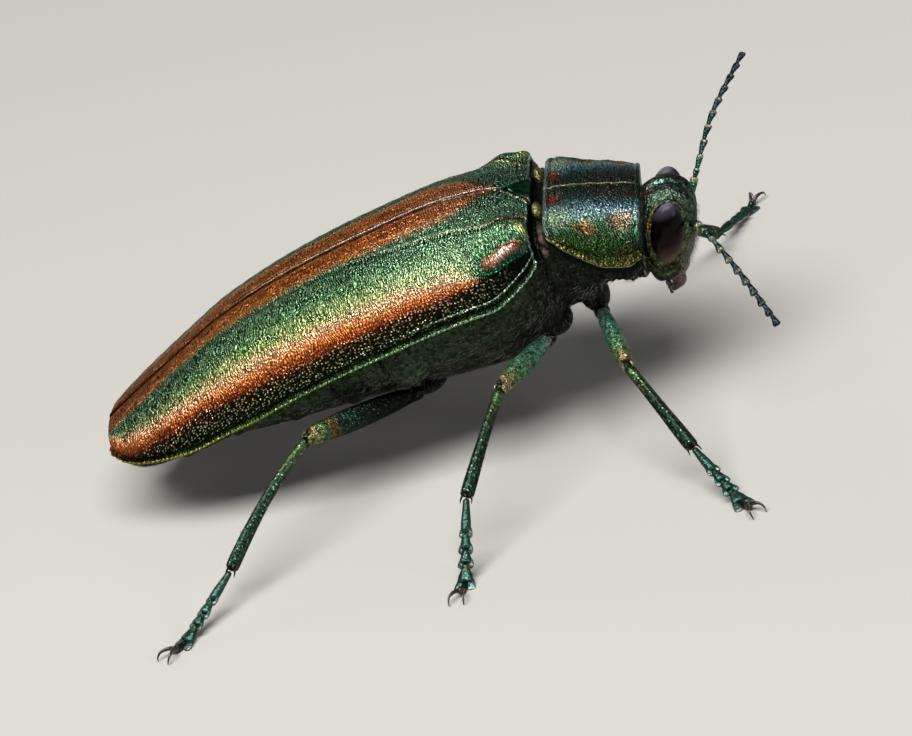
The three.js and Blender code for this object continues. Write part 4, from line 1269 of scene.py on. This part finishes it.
neck = ball((31.5, 0, 0.1), (0.7, 2.15, 2.35), shape=nodded)
rides_unseen(make_piece("neck_skin", [mirrored_place(neck)], from_body, MEMBRANE))

for name, side in SIDES.items():
    globe = ball(sided(EYE_CENTRE, side), EYE_RADII, 72, 54, nodded)
    stands_for(make_piece(f"compound_eye_{name}", [globe], from_body, EYE_SURFACE),
               f"eye_{name}")


def jaw_forms():
    """Upper lip, two curved jaws that meet in a point below it, and two pairs of short palps."""
    forms = [ball((33.5, 0, -2.35), (0.45, 0.85, 0.4), 40, 24, nodded),
             ball((33.0, 0, -2.45), (0.75, 0.9, 0.5), 40, 24, nodded)]
    for side in (RIGHT, LEFT):
        curve = nodded([(33.15, side * 0.5, -2.35), (33.3, side * 0.45, -2.9),
                        (33.12, side * 0.22, -3.35), (32.95, side * 0.03, -3.66)])
        forms.append(limb(curve, lambda at: 0.42 * (1 - 0.82 * at ** 1.4) * rounded(at),
                          lambda at: 0.55 * (1 - 0.8 * at ** 1.2) * rounded(at), 20, 28))
        for aside, reach in ((0.72, 0.24), (0.4, 0.17)):
            top = np.array([32.6, side * aside, -2.65])
            step = np.array([0.1, side * 0.05, -reach])
            for joint in range(3):
                line = nodded([top + step * joint, top + step * (joint + 1.2)])
                forms.append(limb(line, lambda at: 0.09 * rounded(at, 0.3) * (0.8 + 0.4 * at),
                                  lambda at: 0.09 * rounded(at, 0.3) * (0.8 + 0.4 * at), 12, 10))
    return forms


stands_for(make_piece("jaws", jaw_forms(), from_body, JAW_HORN), "mouthparts")

FEELER_JOINTS = 11
FEELER_LINES = {
    "right": [FEELER_BASE, (33.95, 2.3, 0.4), (35.1, 4.3, -1.15), (36.52, 7.2, -3.6)],
    "left": [FEELER_BASE, (34.25, 2.4, 1.55), (35.6, 4.5, 3.05), (37.8, 7.6, 4.35)],
}
# The first joint is long and stout, the second short and round, and the rest are toothed.
FEELER_STEPS = 400
FEELER_ENDS = np.cumsum([0, 1.35, 0.5, 0.95, 1, 1, 1, 0.98, 0.95, 0.9, 0.86, 0.95])
FEELER_ENDS = FEELER_ENDS / FEELER_ENDS[-1]


def feeler_forms(line):
    """Eleven joints, each narrow where it starts and drawn out to a tooth on one side."""
    points, _, _ = along(line, FEELER_STEPS)
    forms = []
    for joint in range(FEELER_JOINTS):
        toothed = joint > 2
        first = int((FEELER_STEPS - 1) * FEELER_ENDS[joint])
        last = int((FEELER_STEPS - 1) * min(1, FEELER_ENDS[joint + 1] + 0.006))
        part = points[np.linspace(first, last, 5).astype(int)]
        size = 0.17 if toothed else (0.23, 0.18, 0.18)[joint]
        size *= 1 - 0.1 * rising(joint, 6, 11)
        waist = 0.66 if joint else 0.85

        def thick(at, size=size, waist=waist):
            return size * lerp(waist, 1, rising(at, 0.0, 0.85)) * rounded(at, 0.1)

        def tooth(at, turn, toothed=toothed):
            return 0.1 * toothed * rising(at, 0.35, 0.9) * np.maximum(0, np.cos(turn)) ** 2 * (
                rounded(at, 0.1))
        form = limb(part, thick, lambda at, thick=thick: 0.85 * thick(at), 20, 22, relief=tooth)
        form.place[:, 0] = form.place[:, 2]
        form.place[:, 2] = lerp(FEELER_ENDS[joint], FEELER_ENDS[joint + 1], form.place[:, 2])
        forms.append(form)
    return forms


for name, side in SIDES.items():
    line = [sided(point, side) for point in FEELER_LINES[name]]
    stands_for(make_piece(f"feeler_{name}", feeler_forms(line), from_body, FEELER_CHITIN),
               f"antenna_{name}")


# ---------------------------------------------------------------- legs

HIP_GRID = (56, 40)
HIPS = {"front": (27.5, 1.95, 5.6), "middle": (25.1, 2.6, 5.1), "hind": (17.9, 3.0, 3.75)}
COXA = {
    "front": ((0, -0.2, 0.7), (0.8, 0.9, 1.15)),
    "middle": ((0.1, -0.3, 0.45), (0.95, 1.0, 0.85)),
    "hind": ((0.1, -0.4, 0.55), (1.15, 1.7, 0.7)),
}
LEGS = {
    "front_right": ((28.85, -7.49, 4.73), (31.42, -11.96, 1.95), (33.7, -15.6, 0)),
    "front_left": ((30.3, 6.6, 5.0), (32.9, 10.9, 1.1), (34.7, 15.2, 0)),
    "middle_right": ((22.47, -8.4, 5.72), (20.09, -13.46, 3.02), (19.14, -17.3, 0)),
    "middle_left": ((22.8, 8.2, 6.5), (21.0, 11.9, 2.0), (20.3, 16.3, 0)),
    "hind_right": ((11.97, -7.6, 5.1), (7.25, -13.1, 1.75), (4.2, -16.7, 0)),
    "hind_left": ((11.8, 7.5, 4.9), (6.6, 12.4, 1.6), (3.6, 16.4, 0)),
}
# How far the thigh starts from the hip, the half thicknesses and the upward bow of the shin.
LEG_SIZES = {
    "front": (0.75, 0.56, 0.31, 0.0),
    "middle": (1.2, 0.56, 0.32, 0.1),
    "hind": (1.2, 0.64, 0.32, 0.35),
}
TARSUS_STEPS = 500
TARSUS_ENDS = (0, 0.36, 0.52, 0.66, 0.86, 1)
TARSUS_HALF_WIDTHS = (0.36, 0.4, 0.44, 0.58, 0.2)
TARSUS_RADIUS = 0.25
SOLE_HEIGHT = 0.16
SOLE_LENGTH = 0.7
thigh_swell = profile([[0, 0.62], [0.3, 0.92], [0.62, 1], [0.88, 0.86], [1, 0.62]])
shin_swell = profile([[0, 0.8], [0.06, 0.95], [0.15, 0.88], [0.5, 0.95], [0.92, 1.15], [1, 1.1]])


def towards(start, end, reach):
    start, end = np.asarray(start, float), np.asarray(end, float)
    return start + (end - start) * reach / np.linalg.norm(end - start)


def joint_ball(centre, radius, wide=20, high=14):
    return ball(centre, (radius, radius, radius), wide, high)


def thigh_forms(hip, knee, clearance, thickness):
    """The hinge ring at the hip, the spindle of the thigh and two lobes that hold the knee."""
    start = towards(hip, knee, clearance - 0.15)
    ring_line = [towards(hip, knee, clearance * 0.45), towards(hip, knee, clearance + 0.25)]
    ring = limb(ring_line, lambda at: 0.42 * rounded(at, 0.3), lambda at: 0.42 * rounded(at, 0.3),
                24, 14)
    ring.place[:, 2] = 0.0

    def wide(at):
        return thickness * 0.86 * thigh_swell(at) * rounded(at)

    def high(at):
        return thickness * thigh_swell(at) * rounded(at)

    def knots(at, turn):
        return 0.012 * np.sin(34 * at * 3.1 + 2 * np.sin(3 * turn)) * np.sin(7 * turn)

    forms = [ring, limb([start, knee], wide, high, 36, 90, relief=knots)]
    across = np.cross(np.asarray(knee) - start, (0, 0, 1))
    across /= np.linalg.norm(across)
    for side in (-1, 1):
        middle = np.asarray(knee) + across * side * thickness * 0.42
        lobe = limb([towards(middle, start + across * side * thickness * 0.42, 0.45),
                     towards(middle, start + across * side * thickness * 0.42, -0.16)],
                    lambda at: 0.13 * rounded(at, 0.3), lambda at: 0.24 * rounded(at, 0.3), 16, 14)
        lobe.place[:, 2] = 0.93
        forms.append(lobe)
    return forms


def shin_forms(knee, ankle, thickness, bow):
    """A slender keeled shin, bent by its bow, with its knee knob and two spurs at the ankle."""
    knee, ankle = np.asarray(knee, float), np.asarray(ankle, float)
    start = towards(knee, ankle, 0.42)
    middle = lerp(start, ankle, 0.45) + np.array([0, 0, 2 * bow])
    t = np.linspace(0, 1, 9)[:, None]
    line = (1 - t) ** 2 * start + 2 * t * (1 - t) * middle + t ** 2 * ankle
    line = np.vstack([towards(knee, ankle, 0.05), line])

    def size(at):
        return thickness * shin_swell(at) * rounded(at, 0.03)

    def keels(at, turn):
        return 0.022 * np.cos(4 * turn) * rising(at, 0.08, 0.2)

    forms = [limb(line, size, size, 28, 90, relief=keels), joint_ball(knee, 0.27)]
    forms[1].place[:, 2] = 0.0
    direction = (ankle - middle) / np.linalg.norm(ankle - middle)
    across = np.cross(direction, (0, 0, 1))
    across /= np.linalg.norm(across)
    under = np.cross(direction, across)
    for side in (-1, 1):
        root = ankle - direction * 0.12 + across * side * thickness * 0.75
        tip = root + direction * 0.42 + across * side * 0.1 + under * 0.1
        spur = limb([root, (root + tip) / 2 + across * side * 0.03, tip],
                    lambda at: 0.075 * (1 - 0.85 * at), lambda at: 0.075 * (1 - 0.85 * at), 10, 10)
        spur.place[:, 2] = 0.97
        forms.append(spur)
    return forms


def tarsus_line(ankle, foot):
    """The line of the foot joints: down from the shin, then level along the ground."""
    ankle, foot = np.asarray(ankle, float), np.asarray(foot, float)
    start = towards(ankle, foot, GAP * 0.3)
    end = foot * [1, 1, 0] + [0, 0, SOLE_HEIGHT]
    outward = (foot - ankle) * [1, 1, 0]
    outward /= np.linalg.norm(outward)
    heel = end - outward * SOLE_LENGTH
    return [start, lerp(start, heel, 0.5), heel, end], outward


def on_ground(form):
    """Presses what lies below the ground flat against it."""
    form.points[:, 2] = np.maximum(form.points[:, 2], 0)
    return form


def tarsus_forms(ankle, foot):
    """Four heart-shaped, two-lobed joints, wider towards the end, and a slender last one."""
    points, directions, _ = along(tarsus_line(ankle, foot)[0], TARSUS_STEPS)
    hard, pads = [], []
    for joint, half in enumerate(TARSUS_HALF_WIDTHS):
        first = int((TARSUS_STEPS - 1) * TARSUS_ENDS[joint])
        last = int((TARSUS_STEPS - 1) * TARSUS_ENDS[joint + 1])
        part = points[np.linspace(first, last, 5).astype(int)]
        slim = joint == len(TARSUS_HALF_WIDTHS) - 1
        body = half if slim else half * 0.72

        def wide(at, body=body):
            return lerp(0.17, body, rising(at, 0, 0.85)) * rounded(at, 0.12)

        def high(at):
            return TARSUS_RADIUS * lerp(0.62, 0.95, rising(at, 0, 0.8)) * rounded(at, 0.12)
        core = limb(part, wide, high, 24, 26)
        core.place[:, 2] = lerp(0.2, 0.75, core.place[:, 2])
        hard.append(on_ground(core))
        if slim:
            core.place[:, 2] = 1.0
            continue
        direction = directions[last]
        across = np.cross(direction, (0, 0, 1))
        across /= np.linalg.norm(across)
        span = np.linalg.norm(points[last] - points[first])
        for side in (-1, 1):
            reach = 0.1 + (0.62 if joint == len(TARSUS_HALF_WIDTHS) - 2 else 0.3) * half
            root = points[last] - direction * min(0.5, 0.6 * span) + across * side * half * 0.25
            tip = points[last] + direction * reach + across * side * half * 0.66
            lobe = limb([root, lerp(root, tip, 0.5) + across * side * 0.05, tip],
                        lambda at, half=half: half * (0.18 + 0.26 * at) * rounded(at, 0.25),
                        lambda at: 0.06 * rounded(at, 0.25), 16, 18)
            lobe.place[:, 2] = lerp(0.5, 1.0, lobe.place[:, 2])
            hard.append(on_ground(lobe))
            drop = np.array([0, 0, -0.1])
            pad = limb([root + drop, tip + drop * 0.6], lambda at: 0.15 * rounded(at, 0.4),
                       lambda at: 0.09 * rounded(at, 0.4), 14, 12)
            pads.append(on_ground(pad))
    return hard, pads


def claw_forms(ankle, foot):
    """Two curved claws that part from one root at the tip of the foot."""
    foot = np.asarray(foot, float)
    outward = tarsus_line(ankle, foot)[1]
    sideways = np.array([-outward[1], outward[0], 0])

    def at_place(reach, spread, height):
        return foot * [1, 1, 0] + outward * (GAP + reach) + sideways * spread + [0, 0, height]

    forms = [joint_ball(at_place(-0.1, 0, 0.22), 0.2)]
    for side in (-1, 1):
        line = [at_place(-0.12, side * 0.05, 0.24), at_place(0.2, side * 0.2, 0.4),
                at_place(0.55, side * 0.36, 0.4), at_place(0.8, side * 0.4, 0.22),
                at_place(0.86, side * 0.38, 0.03)]
        forms.append(on_ground(limb(line, lambda at: 0.11 * (1 - 0.8 * at ** 1.2) * rounded(at),
                                    lambda at: 0.13 * (1 - 0.8 * at ** 1.2) * rounded(at), 18, 30)))
    return forms


def hip_form(name):
    """The rounded joint that carries a leg."""
    pair, side = name.split("_")
    above, radii = COXA[pair]
    return ball(sided(onto_body(HIPS[pair]) + above, SIDES[side]), radii, *HIP_GRID)


for name, (knee, ankle, foot) in LEGS.items():
    pair, side_name = name.split("_")
    side = SIDES[side_name]
    clearance, thigh, shin, bow = LEG_SIZES[pair]
    hip = sided(HIPS[pair], side)
    stands_for(make_piece(f"hip_{name}", [hip_form(name)], from_body, HIP_CHITIN),
               f"coxa_{name}")
    thigh_chitin = SHADED_HIND_THIGH_CHITIN if pair == "hind" else THIGH_CHITIN
    stands_for(make_piece(f"thigh_{name}", thigh_forms(hip, knee, clearance, thigh), from_stance,
                          thigh_chitin), f"femur_{name}")
    stands_for(make_piece(f"shin_{name}", shin_forms(knee, ankle, shin, bow), from_stance,
                          SHIN_CHITIN), f"tibia_{name}")
    hard, pads = tarsus_forms(ankle, foot)
    stands_for(make_piece(f"foot_joints_{name}", hard, from_stance, FOOT_CHITIN),
               f"tarsus_{name}")
    rides_unseen(make_piece(f"sole_pads_{name}", pads, from_stance, PAD_SKIN))
    stands_for(make_piece(f"claw_pair_{name}", claw_forms(ankle, foot), from_stance, CLAW_HORN),
               f"claws_{name}")


# ---------------------------------------------------------------- down

HAIR_PATCH = 0.003


def down_tree():
    """Geometry Nodes that scatter bent hairs over a skin.

    The skin says for each point how thickly it is covered, which way the hairs lie and where
    the point is on its unwrap."""
    tree = bpy.data.node_groups.new("down", "GeometryNodeTree")
    for name, kind in (("Skin", "Geometry"), ("Density", "Float"), ("Length", "Float"),
                       ("Radius", "Float"), ("Lift", "Float"), ("Seed", "Int"),
                       ("Finish", "Material")):
        tree.interface.new_socket(name, in_out="INPUT", socket_type=f"NodeSocket{kind}")
    tree.interface.new_socket("Hairs", in_out="OUTPUT", socket_type="NodeSocketGeometry")
    given = node(tree, "NodeGroupInput")
    cover, lie, unwrap = (
        node(tree, "GeometryNodeInputNamedAttribute", {"Name": name}, data_type=kind)[0]
        for name, kind in (("cover", "FLOAT"), ("lie", "FLOAT_VECTOR"),
                           ("unwrap", "FLOAT_VECTOR")))
    spots, normal, _ = node(tree, "GeometryNodeDistributePointsOnFaces", {
        "Mesh": given["Skin"],
        "Density": node(tree, MATH, (cover, given["Density"]), operation="MULTIPLY")[0],
        "Seed": given["Seed"]})

    # One hair: a slender bent cone, one millimetre at its Length of 0.001.
    cone = node(tree, "GeometryNodeMeshCone", {
        "Vertices": 3, "Side Segments": 2, "Radius Top": 0.0, "Radius Bottom": given["Radius"],
        "Depth": given["Length"]}, fill_type="NGON")["Mesh"]
    x, _, z = node(tree, PARTS, (node(tree, "GeometryNodeInputPosition")[0],))
    way = node(tree, MATH, (z, given["Length"]), operation="DIVIDE")[0]
    bend = node(tree, MATH, (
        node(tree, MATH, (
            node(tree, MATH, (way, way), operation="MULTIPLY")[0], given["Length"],
        ), operation="MULTIPLY")[0], 0.3), operation="MULTIPLY")[0]
    bent = node(tree, "GeometryNodeSetPosition", {
        "Geometry": cone, "Offset": node(tree, "ShaderNodeCombineXYZ", {0: bend})[0]})[0]
    own = node(tree, "ShaderNodeCombineXYZ", (
        node(tree, MATH, (x, given["Radius"]), operation="DIVIDE")[0], way))[0]
    hair = node(tree, "GeometryNodeStoreNamedAttribute", {
        "Geometry": bent, "Name": "own", "Value": own}, data_type="FLOAT_VECTOR", domain="POINT")[0]

    # Each hair lies along the skin, lifted a little from it, with some unevenness.
    towards_normal = node(tree, VECTOR_MATH, (lie, normal), operation="DOT_PRODUCT")["Value"]
    rise = node(tree, MATH, (given["Lift"], towards_normal), operation="SUBTRACT")[0]
    lifted = node(tree, VECTOR_MATH, (
        normal, node(tree, "ShaderNodeCombineXYZ", (rise, rise, rise))[0], lie,
    ), operation="MULTIPLY_ADD")[0]
    stray = node(tree, "FunctionNodeRandomValue", {
        0: (-0.35, -0.35, -0.35), 1: (0.35, 0.35, 0.35), "Seed": given["Seed"]},
        data_type="FLOAT_VECTOR")[0]
    direction = node(tree, VECTOR_MATH, (lifted, stray), operation="ADD")[0]
    turned = node(tree, "FunctionNodeAlignRotationToVector", {"Vector": direction}, axis="Z")[0]
    size = node(tree, "FunctionNodeRandomValue", {2: 0.6, 3: 1.25, "Seed": given["Seed"]},
                data_type="FLOAT")[1]
    placed = node(tree, "GeometryNodeInstanceOnPoints", {
        "Points": spots, "Instance": hair, "Rotation": turned, "Scale": size})[0]
    solid = node(tree, "GeometryNodeRealizeInstances", {"Geometry": placed})[0]
    own = node(tree, "GeometryNodeInputNamedAttribute", {"Name": "own"},
               data_type="FLOAT_VECTOR")[0]
    patch = node(tree, VECTOR_MATH, (
        own, (HAIR_PATCH / 2, HAIR_PATCH, 0), unwrap), operation="MULTIPLY_ADD")[0]
    mapped = node(tree, "GeometryNodeStoreNamedAttribute", {
        "Geometry": solid, "Name": "OFBake", "Value": patch}, data_type="FLOAT2",
        domain="CORNER")[0]
    finished = node(tree, "GeometryNodeSetMaterial", {
        "Geometry": mapped, "Material": given["Finish"]})[0]
    node(tree, "NodeGroupOutput", {"Hairs": finished})
    return tree


DOWN_TREE = down_tree()


def make_down(name, form, place_in_model, cover, lie, unwrap, density, length,
              radius=0.011, lift=0.35, seed=1):
    """Grows hairs on a skin form. cover is given for each of its points, and lie for each or for all.

    density is in hairs per square millimetre, and lengths are in millimetres."""
    mesh = bpy.data.meshes.new(f"{name}_skin")
    mesh.from_pydata(place_in_model(form.points).tolist(), [], form.faces)
    for attribute, numbers in (("lie", lie), ("unwrap", unwrap)):
        lay = mesh.attributes.new(attribute, "FLOAT_VECTOR", "POINT")
        lay.data.foreach_set("vector", (numbers + 0 * form.points).astype(np.float32).ravel())
    lay = mesh.attributes.new("cover", "FLOAT", "POINT")
    lay.data.foreach_set("value", (cover + 0 * form.points[:, 0]).astype(np.float32))
    skin = bpy.data.objects.new(f"{name}_skin", mesh)
    bpy.context.scene.collection.objects.link(skin)
    modifier = skin.modifiers.new("down", "NODES")
    modifier.node_group = DOWN_TREE
    sizes = {"Density": density / MM ** 2, "Length": length * MM, "Radius": radius * MM,
             "Lift": lift, "Seed": seed, "Finish": DOWN}
    for item in DOWN_TREE.interface.items_tree:
        if item.name in sizes:
            modifier[item.identifier] = sizes[item.name]
    grown = skin.evaluated_get(bpy.context.evaluated_depsgraph_get())
    hairs = bpy.data.meshes.new_from_object(grown)
    skin.modifiers.remove(modifier)
    bpy.data.objects.remove(skin)
    for attribute in ("own", "unwrap", "lie", "cover"):
        if attribute in hairs.attributes:
            hairs.attributes.remove(hairs.attributes[attribute])
    hairs.name = name
    piece = bpy.data.objects.new(name, hairs)
    bpy.context.scene.collection.objects.link(piece)
    rides_unseen(piece)


def round_unwrap(along_body, turn, reach):
    """An unwrap of a body of round section: its length and its turn, each from 0 to 1."""
    return np.stack([along_body / reach, turn / (2 * np.pi), 0 * turn], -1) * 0.98 + [0.01, 0.01, 0]


def belly_down():
    """Grey down on the thorax sides and on the side parts of the belly plates."""
    form = body_slice(0.8, NECK - GAP,
                      lambda x, drop: thorax_relief(x, drop) * (x > SEGMENT_ENDS[-1]))
    x, y, z = form.points.T
    level = ridge(x) - depth(x)
    drop = np.degrees(np.arctan2((level - z) / belly(x), np.abs(y) / half_width(x)))
    clumps = 0.5 + 0.5 * np.sin(x * 2.1 + 1.3 * np.sin(drop * 0.11)) * np.sin(drop * 0.19 + x * 0.6)
    cover = rising(drop, 8, 34) * (0.25 + 0.75 * clumps) * lerp(1, 0.45, rising(drop, 60, 90))
    turn = np.arctan2(y, level - z) + np.pi
    make_down("down_of_the_underside", form, from_body, cover, np.array([-1.0, 0.0, -0.25]),
              round_unwrap(x, turn, 27), 38, 0.36, radius=0.008, lift=0.3)


def face_down():
    """A pale fringe on the face and round the mouth."""
    form = ball(HEAD_CENTRE, HEAD_RADII, *HEAD_GRID, head_shape)
    x, y, z = form.points.T
    level = x - NOD * (z - float(pronotum_ridge(HEAD_BASE)))
    cover = rising(level, 33.1, 33.7) * rising(z, 0.6, -0.6)
    turn = np.arctan2(y, level - HEAD_CENTRE[0]) % (2 * np.pi)
    turn = (turn + np.pi) % (2 * np.pi)
    make_down("down_of_the_face", form, from_body, cover, np.array([0.35, 0.0, -1.0]),
              round_unwrap(z + 3.6, turn, 7), 50, 0.42, radius=0.009, lift=0.8, seed=2)


def breast_down():
    """Thin down on the breastplate."""
    form = front_thorax(False)
    x, y, z = form.points.T
    cover = rising(z, 0.6, -0.4)
    turn = np.arctan2(y, 3.0 - z) + np.pi
    make_down("down_of_the_breast", form, from_body, cover, np.array([-1.0, 0.0, -0.3]),
              round_unwrap(x - 24, turn, 9), 16, 0.4, seed=3)


def hip_down():
    """Thin down on the six hips."""
    forms = [hip_form(name) for name in LEGS]
    size = len(forms[0].points)
    whole = joined(forms)
    row, turn = np.divmod(np.arange(size), HIP_GRID[0])
    strip = np.repeat(np.arange(len(forms)), size)
    along_strip = (strip + np.tile(row / row.max(), len(forms))) / len(forms)
    turn = np.tile(turn / HIP_GRID[0] * 2 * np.pi, len(forms))
    make_down("down_of_the_hips", whole, from_body, 1.0 * (turn > 0.2), np.array([-0.3, 0, -1.0]),
              round_unwrap(along_strip, turn, 1), 16, 0.28, radius=0.008, seed=5)


def shin_down():
    """Short bristles along the shins."""
    forms, lies, unwraps, covers = [], [], [], []
    for number, (name, (knee, ankle, _)) in enumerate(LEGS.items()):
        form = shin_forms(knee, ankle, *LEG_SIZES[name.split("_")[0]][2:])[0]
        at, turn = form.place[:, 2], form.place[:, 1] / form.place[:, 1].max() * 2 * np.pi
        line = form.points[-1] - form.points[-2]
        forms.append(form)
        lies.append(line / np.linalg.norm(line) + 0 * form.points)
        unwraps.append(round_unwrap((number + at) / len(LEGS), turn, 1))
        covers.append(rising(at, 0.08, 0.3) * rising(at, 1, 0.96) * (turn > 0.3) * (turn < 6))
    make_down("bristles_of_the_shins", joined(forms), from_stance, np.concatenate(covers),
              np.concatenate(lies), np.concatenate(unwraps), 12, 0.2, radius=0.008,
              lift=0.5, seed=4)


belly_down()
face_down()
breast_down()
hip_down()
shin_down()


# ---------------------------------------------------------------- camera, floor and light

# The camera's place round the beetle's own axis, in degrees and millimetres.
CAMERA_AZIMUTH, CAMERA_ELEVATION, CAMERA_ROLL = 15, 26, 25
CAMERA_DISTANCE = 191
CAMERA_TARGET = np.array([18.0, 0, 1.0])
PICTURE_WIDTH = 912
FOCAL_LENGTH = 3660
AIM_ASIDE = (47, -76)
SENSOR = 36


def turned_with_body(direction):
    """A direction of the body frame, in the model's frame."""
    return Vector(from_body(direction) - from_body((0, 0, 0))).normalized()


def make_camera():
    turn, rise, roll = map(math.radians, (CAMERA_AZIMUTH, CAMERA_ELEVATION, CAMERA_ROLL))
    back = np.array([math.sin(turn) * math.cos(rise), -math.cos(turn) * math.cos(rise),
                     math.sin(rise)])
    level = np.array([math.cos(turn), math.sin(turn), 0])
    upright = np.cross(back, level)
    right = level * math.cos(roll) - upright * math.sin(roll)
    up = level * math.sin(roll) + upright * math.cos(roll)
    aim = -back + AIM_ASIDE[0] / FOCAL_LENGTH * right + AIM_ASIDE[1] / FOCAL_LENGTH * up
    forward = turned_with_body(aim)
    sideways = forward.cross(turned_with_body(up)).normalized()
    above = sideways.cross(forward)
    data = bpy.data.cameras.new("camera")
    data.sensor_width = SENSOR
    data.lens = SENSOR * FOCAL_LENGTH / PICTURE_WIDTH
    data.clip_start = 0.01
    camera = bpy.data.objects.new("camera", data)
    camera.matrix_world = Matrix.Translation(
        Vector(from_body(CAMERA_TARGET + CAMERA_DISTANCE * back))) @ Matrix(
        (sideways, above, -forward)).transposed().to_4x4()
    bpy.context.scene.collection.objects.link(camera)
    bpy.context.scene.camera = camera


FLOOR_REACH = 1.5


def make_floor():
    """A wide, plain, pale floor."""
    material, tree = new_material("matt pale floor")
    shader = node(tree, "ShaderNodeBsdfPrincipled", {
        "Base Color": 0xb6b3ac, "Roughness": 0.85})["BSDF"]
    node(tree, "ShaderNodeOutputMaterial", {"Surface": shader})
    mesh = bpy.data.meshes.new("floor")
    reach = FLOOR_REACH
    corners = [(-reach, -reach, 0), (reach, -reach, 0), (reach, reach, 0), (-reach, reach, 0)]
    mesh.from_pydata(corners, [], [(0, 1, 2, 3)])
    mesh.materials.append(material)
    floor = bpy.data.objects.new("floor", mesh)
    bpy.context.scene.collection.objects.link(floor)


def soft_light(name, place, size, power, aim=(0, 0, 0.006)):
    """A soft box, its place in metres, turned towards the beetle, its long side with the body."""
    data = bpy.data.lights.new(name, "AREA")
    data.shape = "RECTANGLE"
    data.size, data.size_y = size
    data.energy = power
    lamp = bpy.data.objects.new(name, data)
    away = (Vector(place) - Vector(aim)).normalized()
    upwards = away.cross(Vector((1, 0, 0))).normalized()
    lamp.matrix_world = Matrix.Translation(Vector(place)) @ Matrix(
        (upwards.cross(away), upwards, away)).transposed().to_4x4()
    bpy.context.scene.collection.objects.link(lamp)


def make_lights():
    soft_light("overhead", (-0.02, -0.07, 0.28), (0.36, 0.14), 1.5)
    soft_light("front fill", (0.24, -0.18, 0.1), (0.1, 0.1), 0.16)
    soft_light("back fill", (-0.18, 0.24, 0.12), (0.14, 0.14), 0.14)
    world = bpy.data.worlds.new("studio")
    world.use_nodes = True
    background = world.node_tree.nodes["Background"]
    background.inputs["Color"].default_value = linear(0xc8ccd0)
    background.inputs["Strength"].default_value = 0.1
    bpy.context.scene.world = world
    bpy.context.scene.view_settings.view_transform = "Standard"


make_camera()
make_floor()
make_lights()
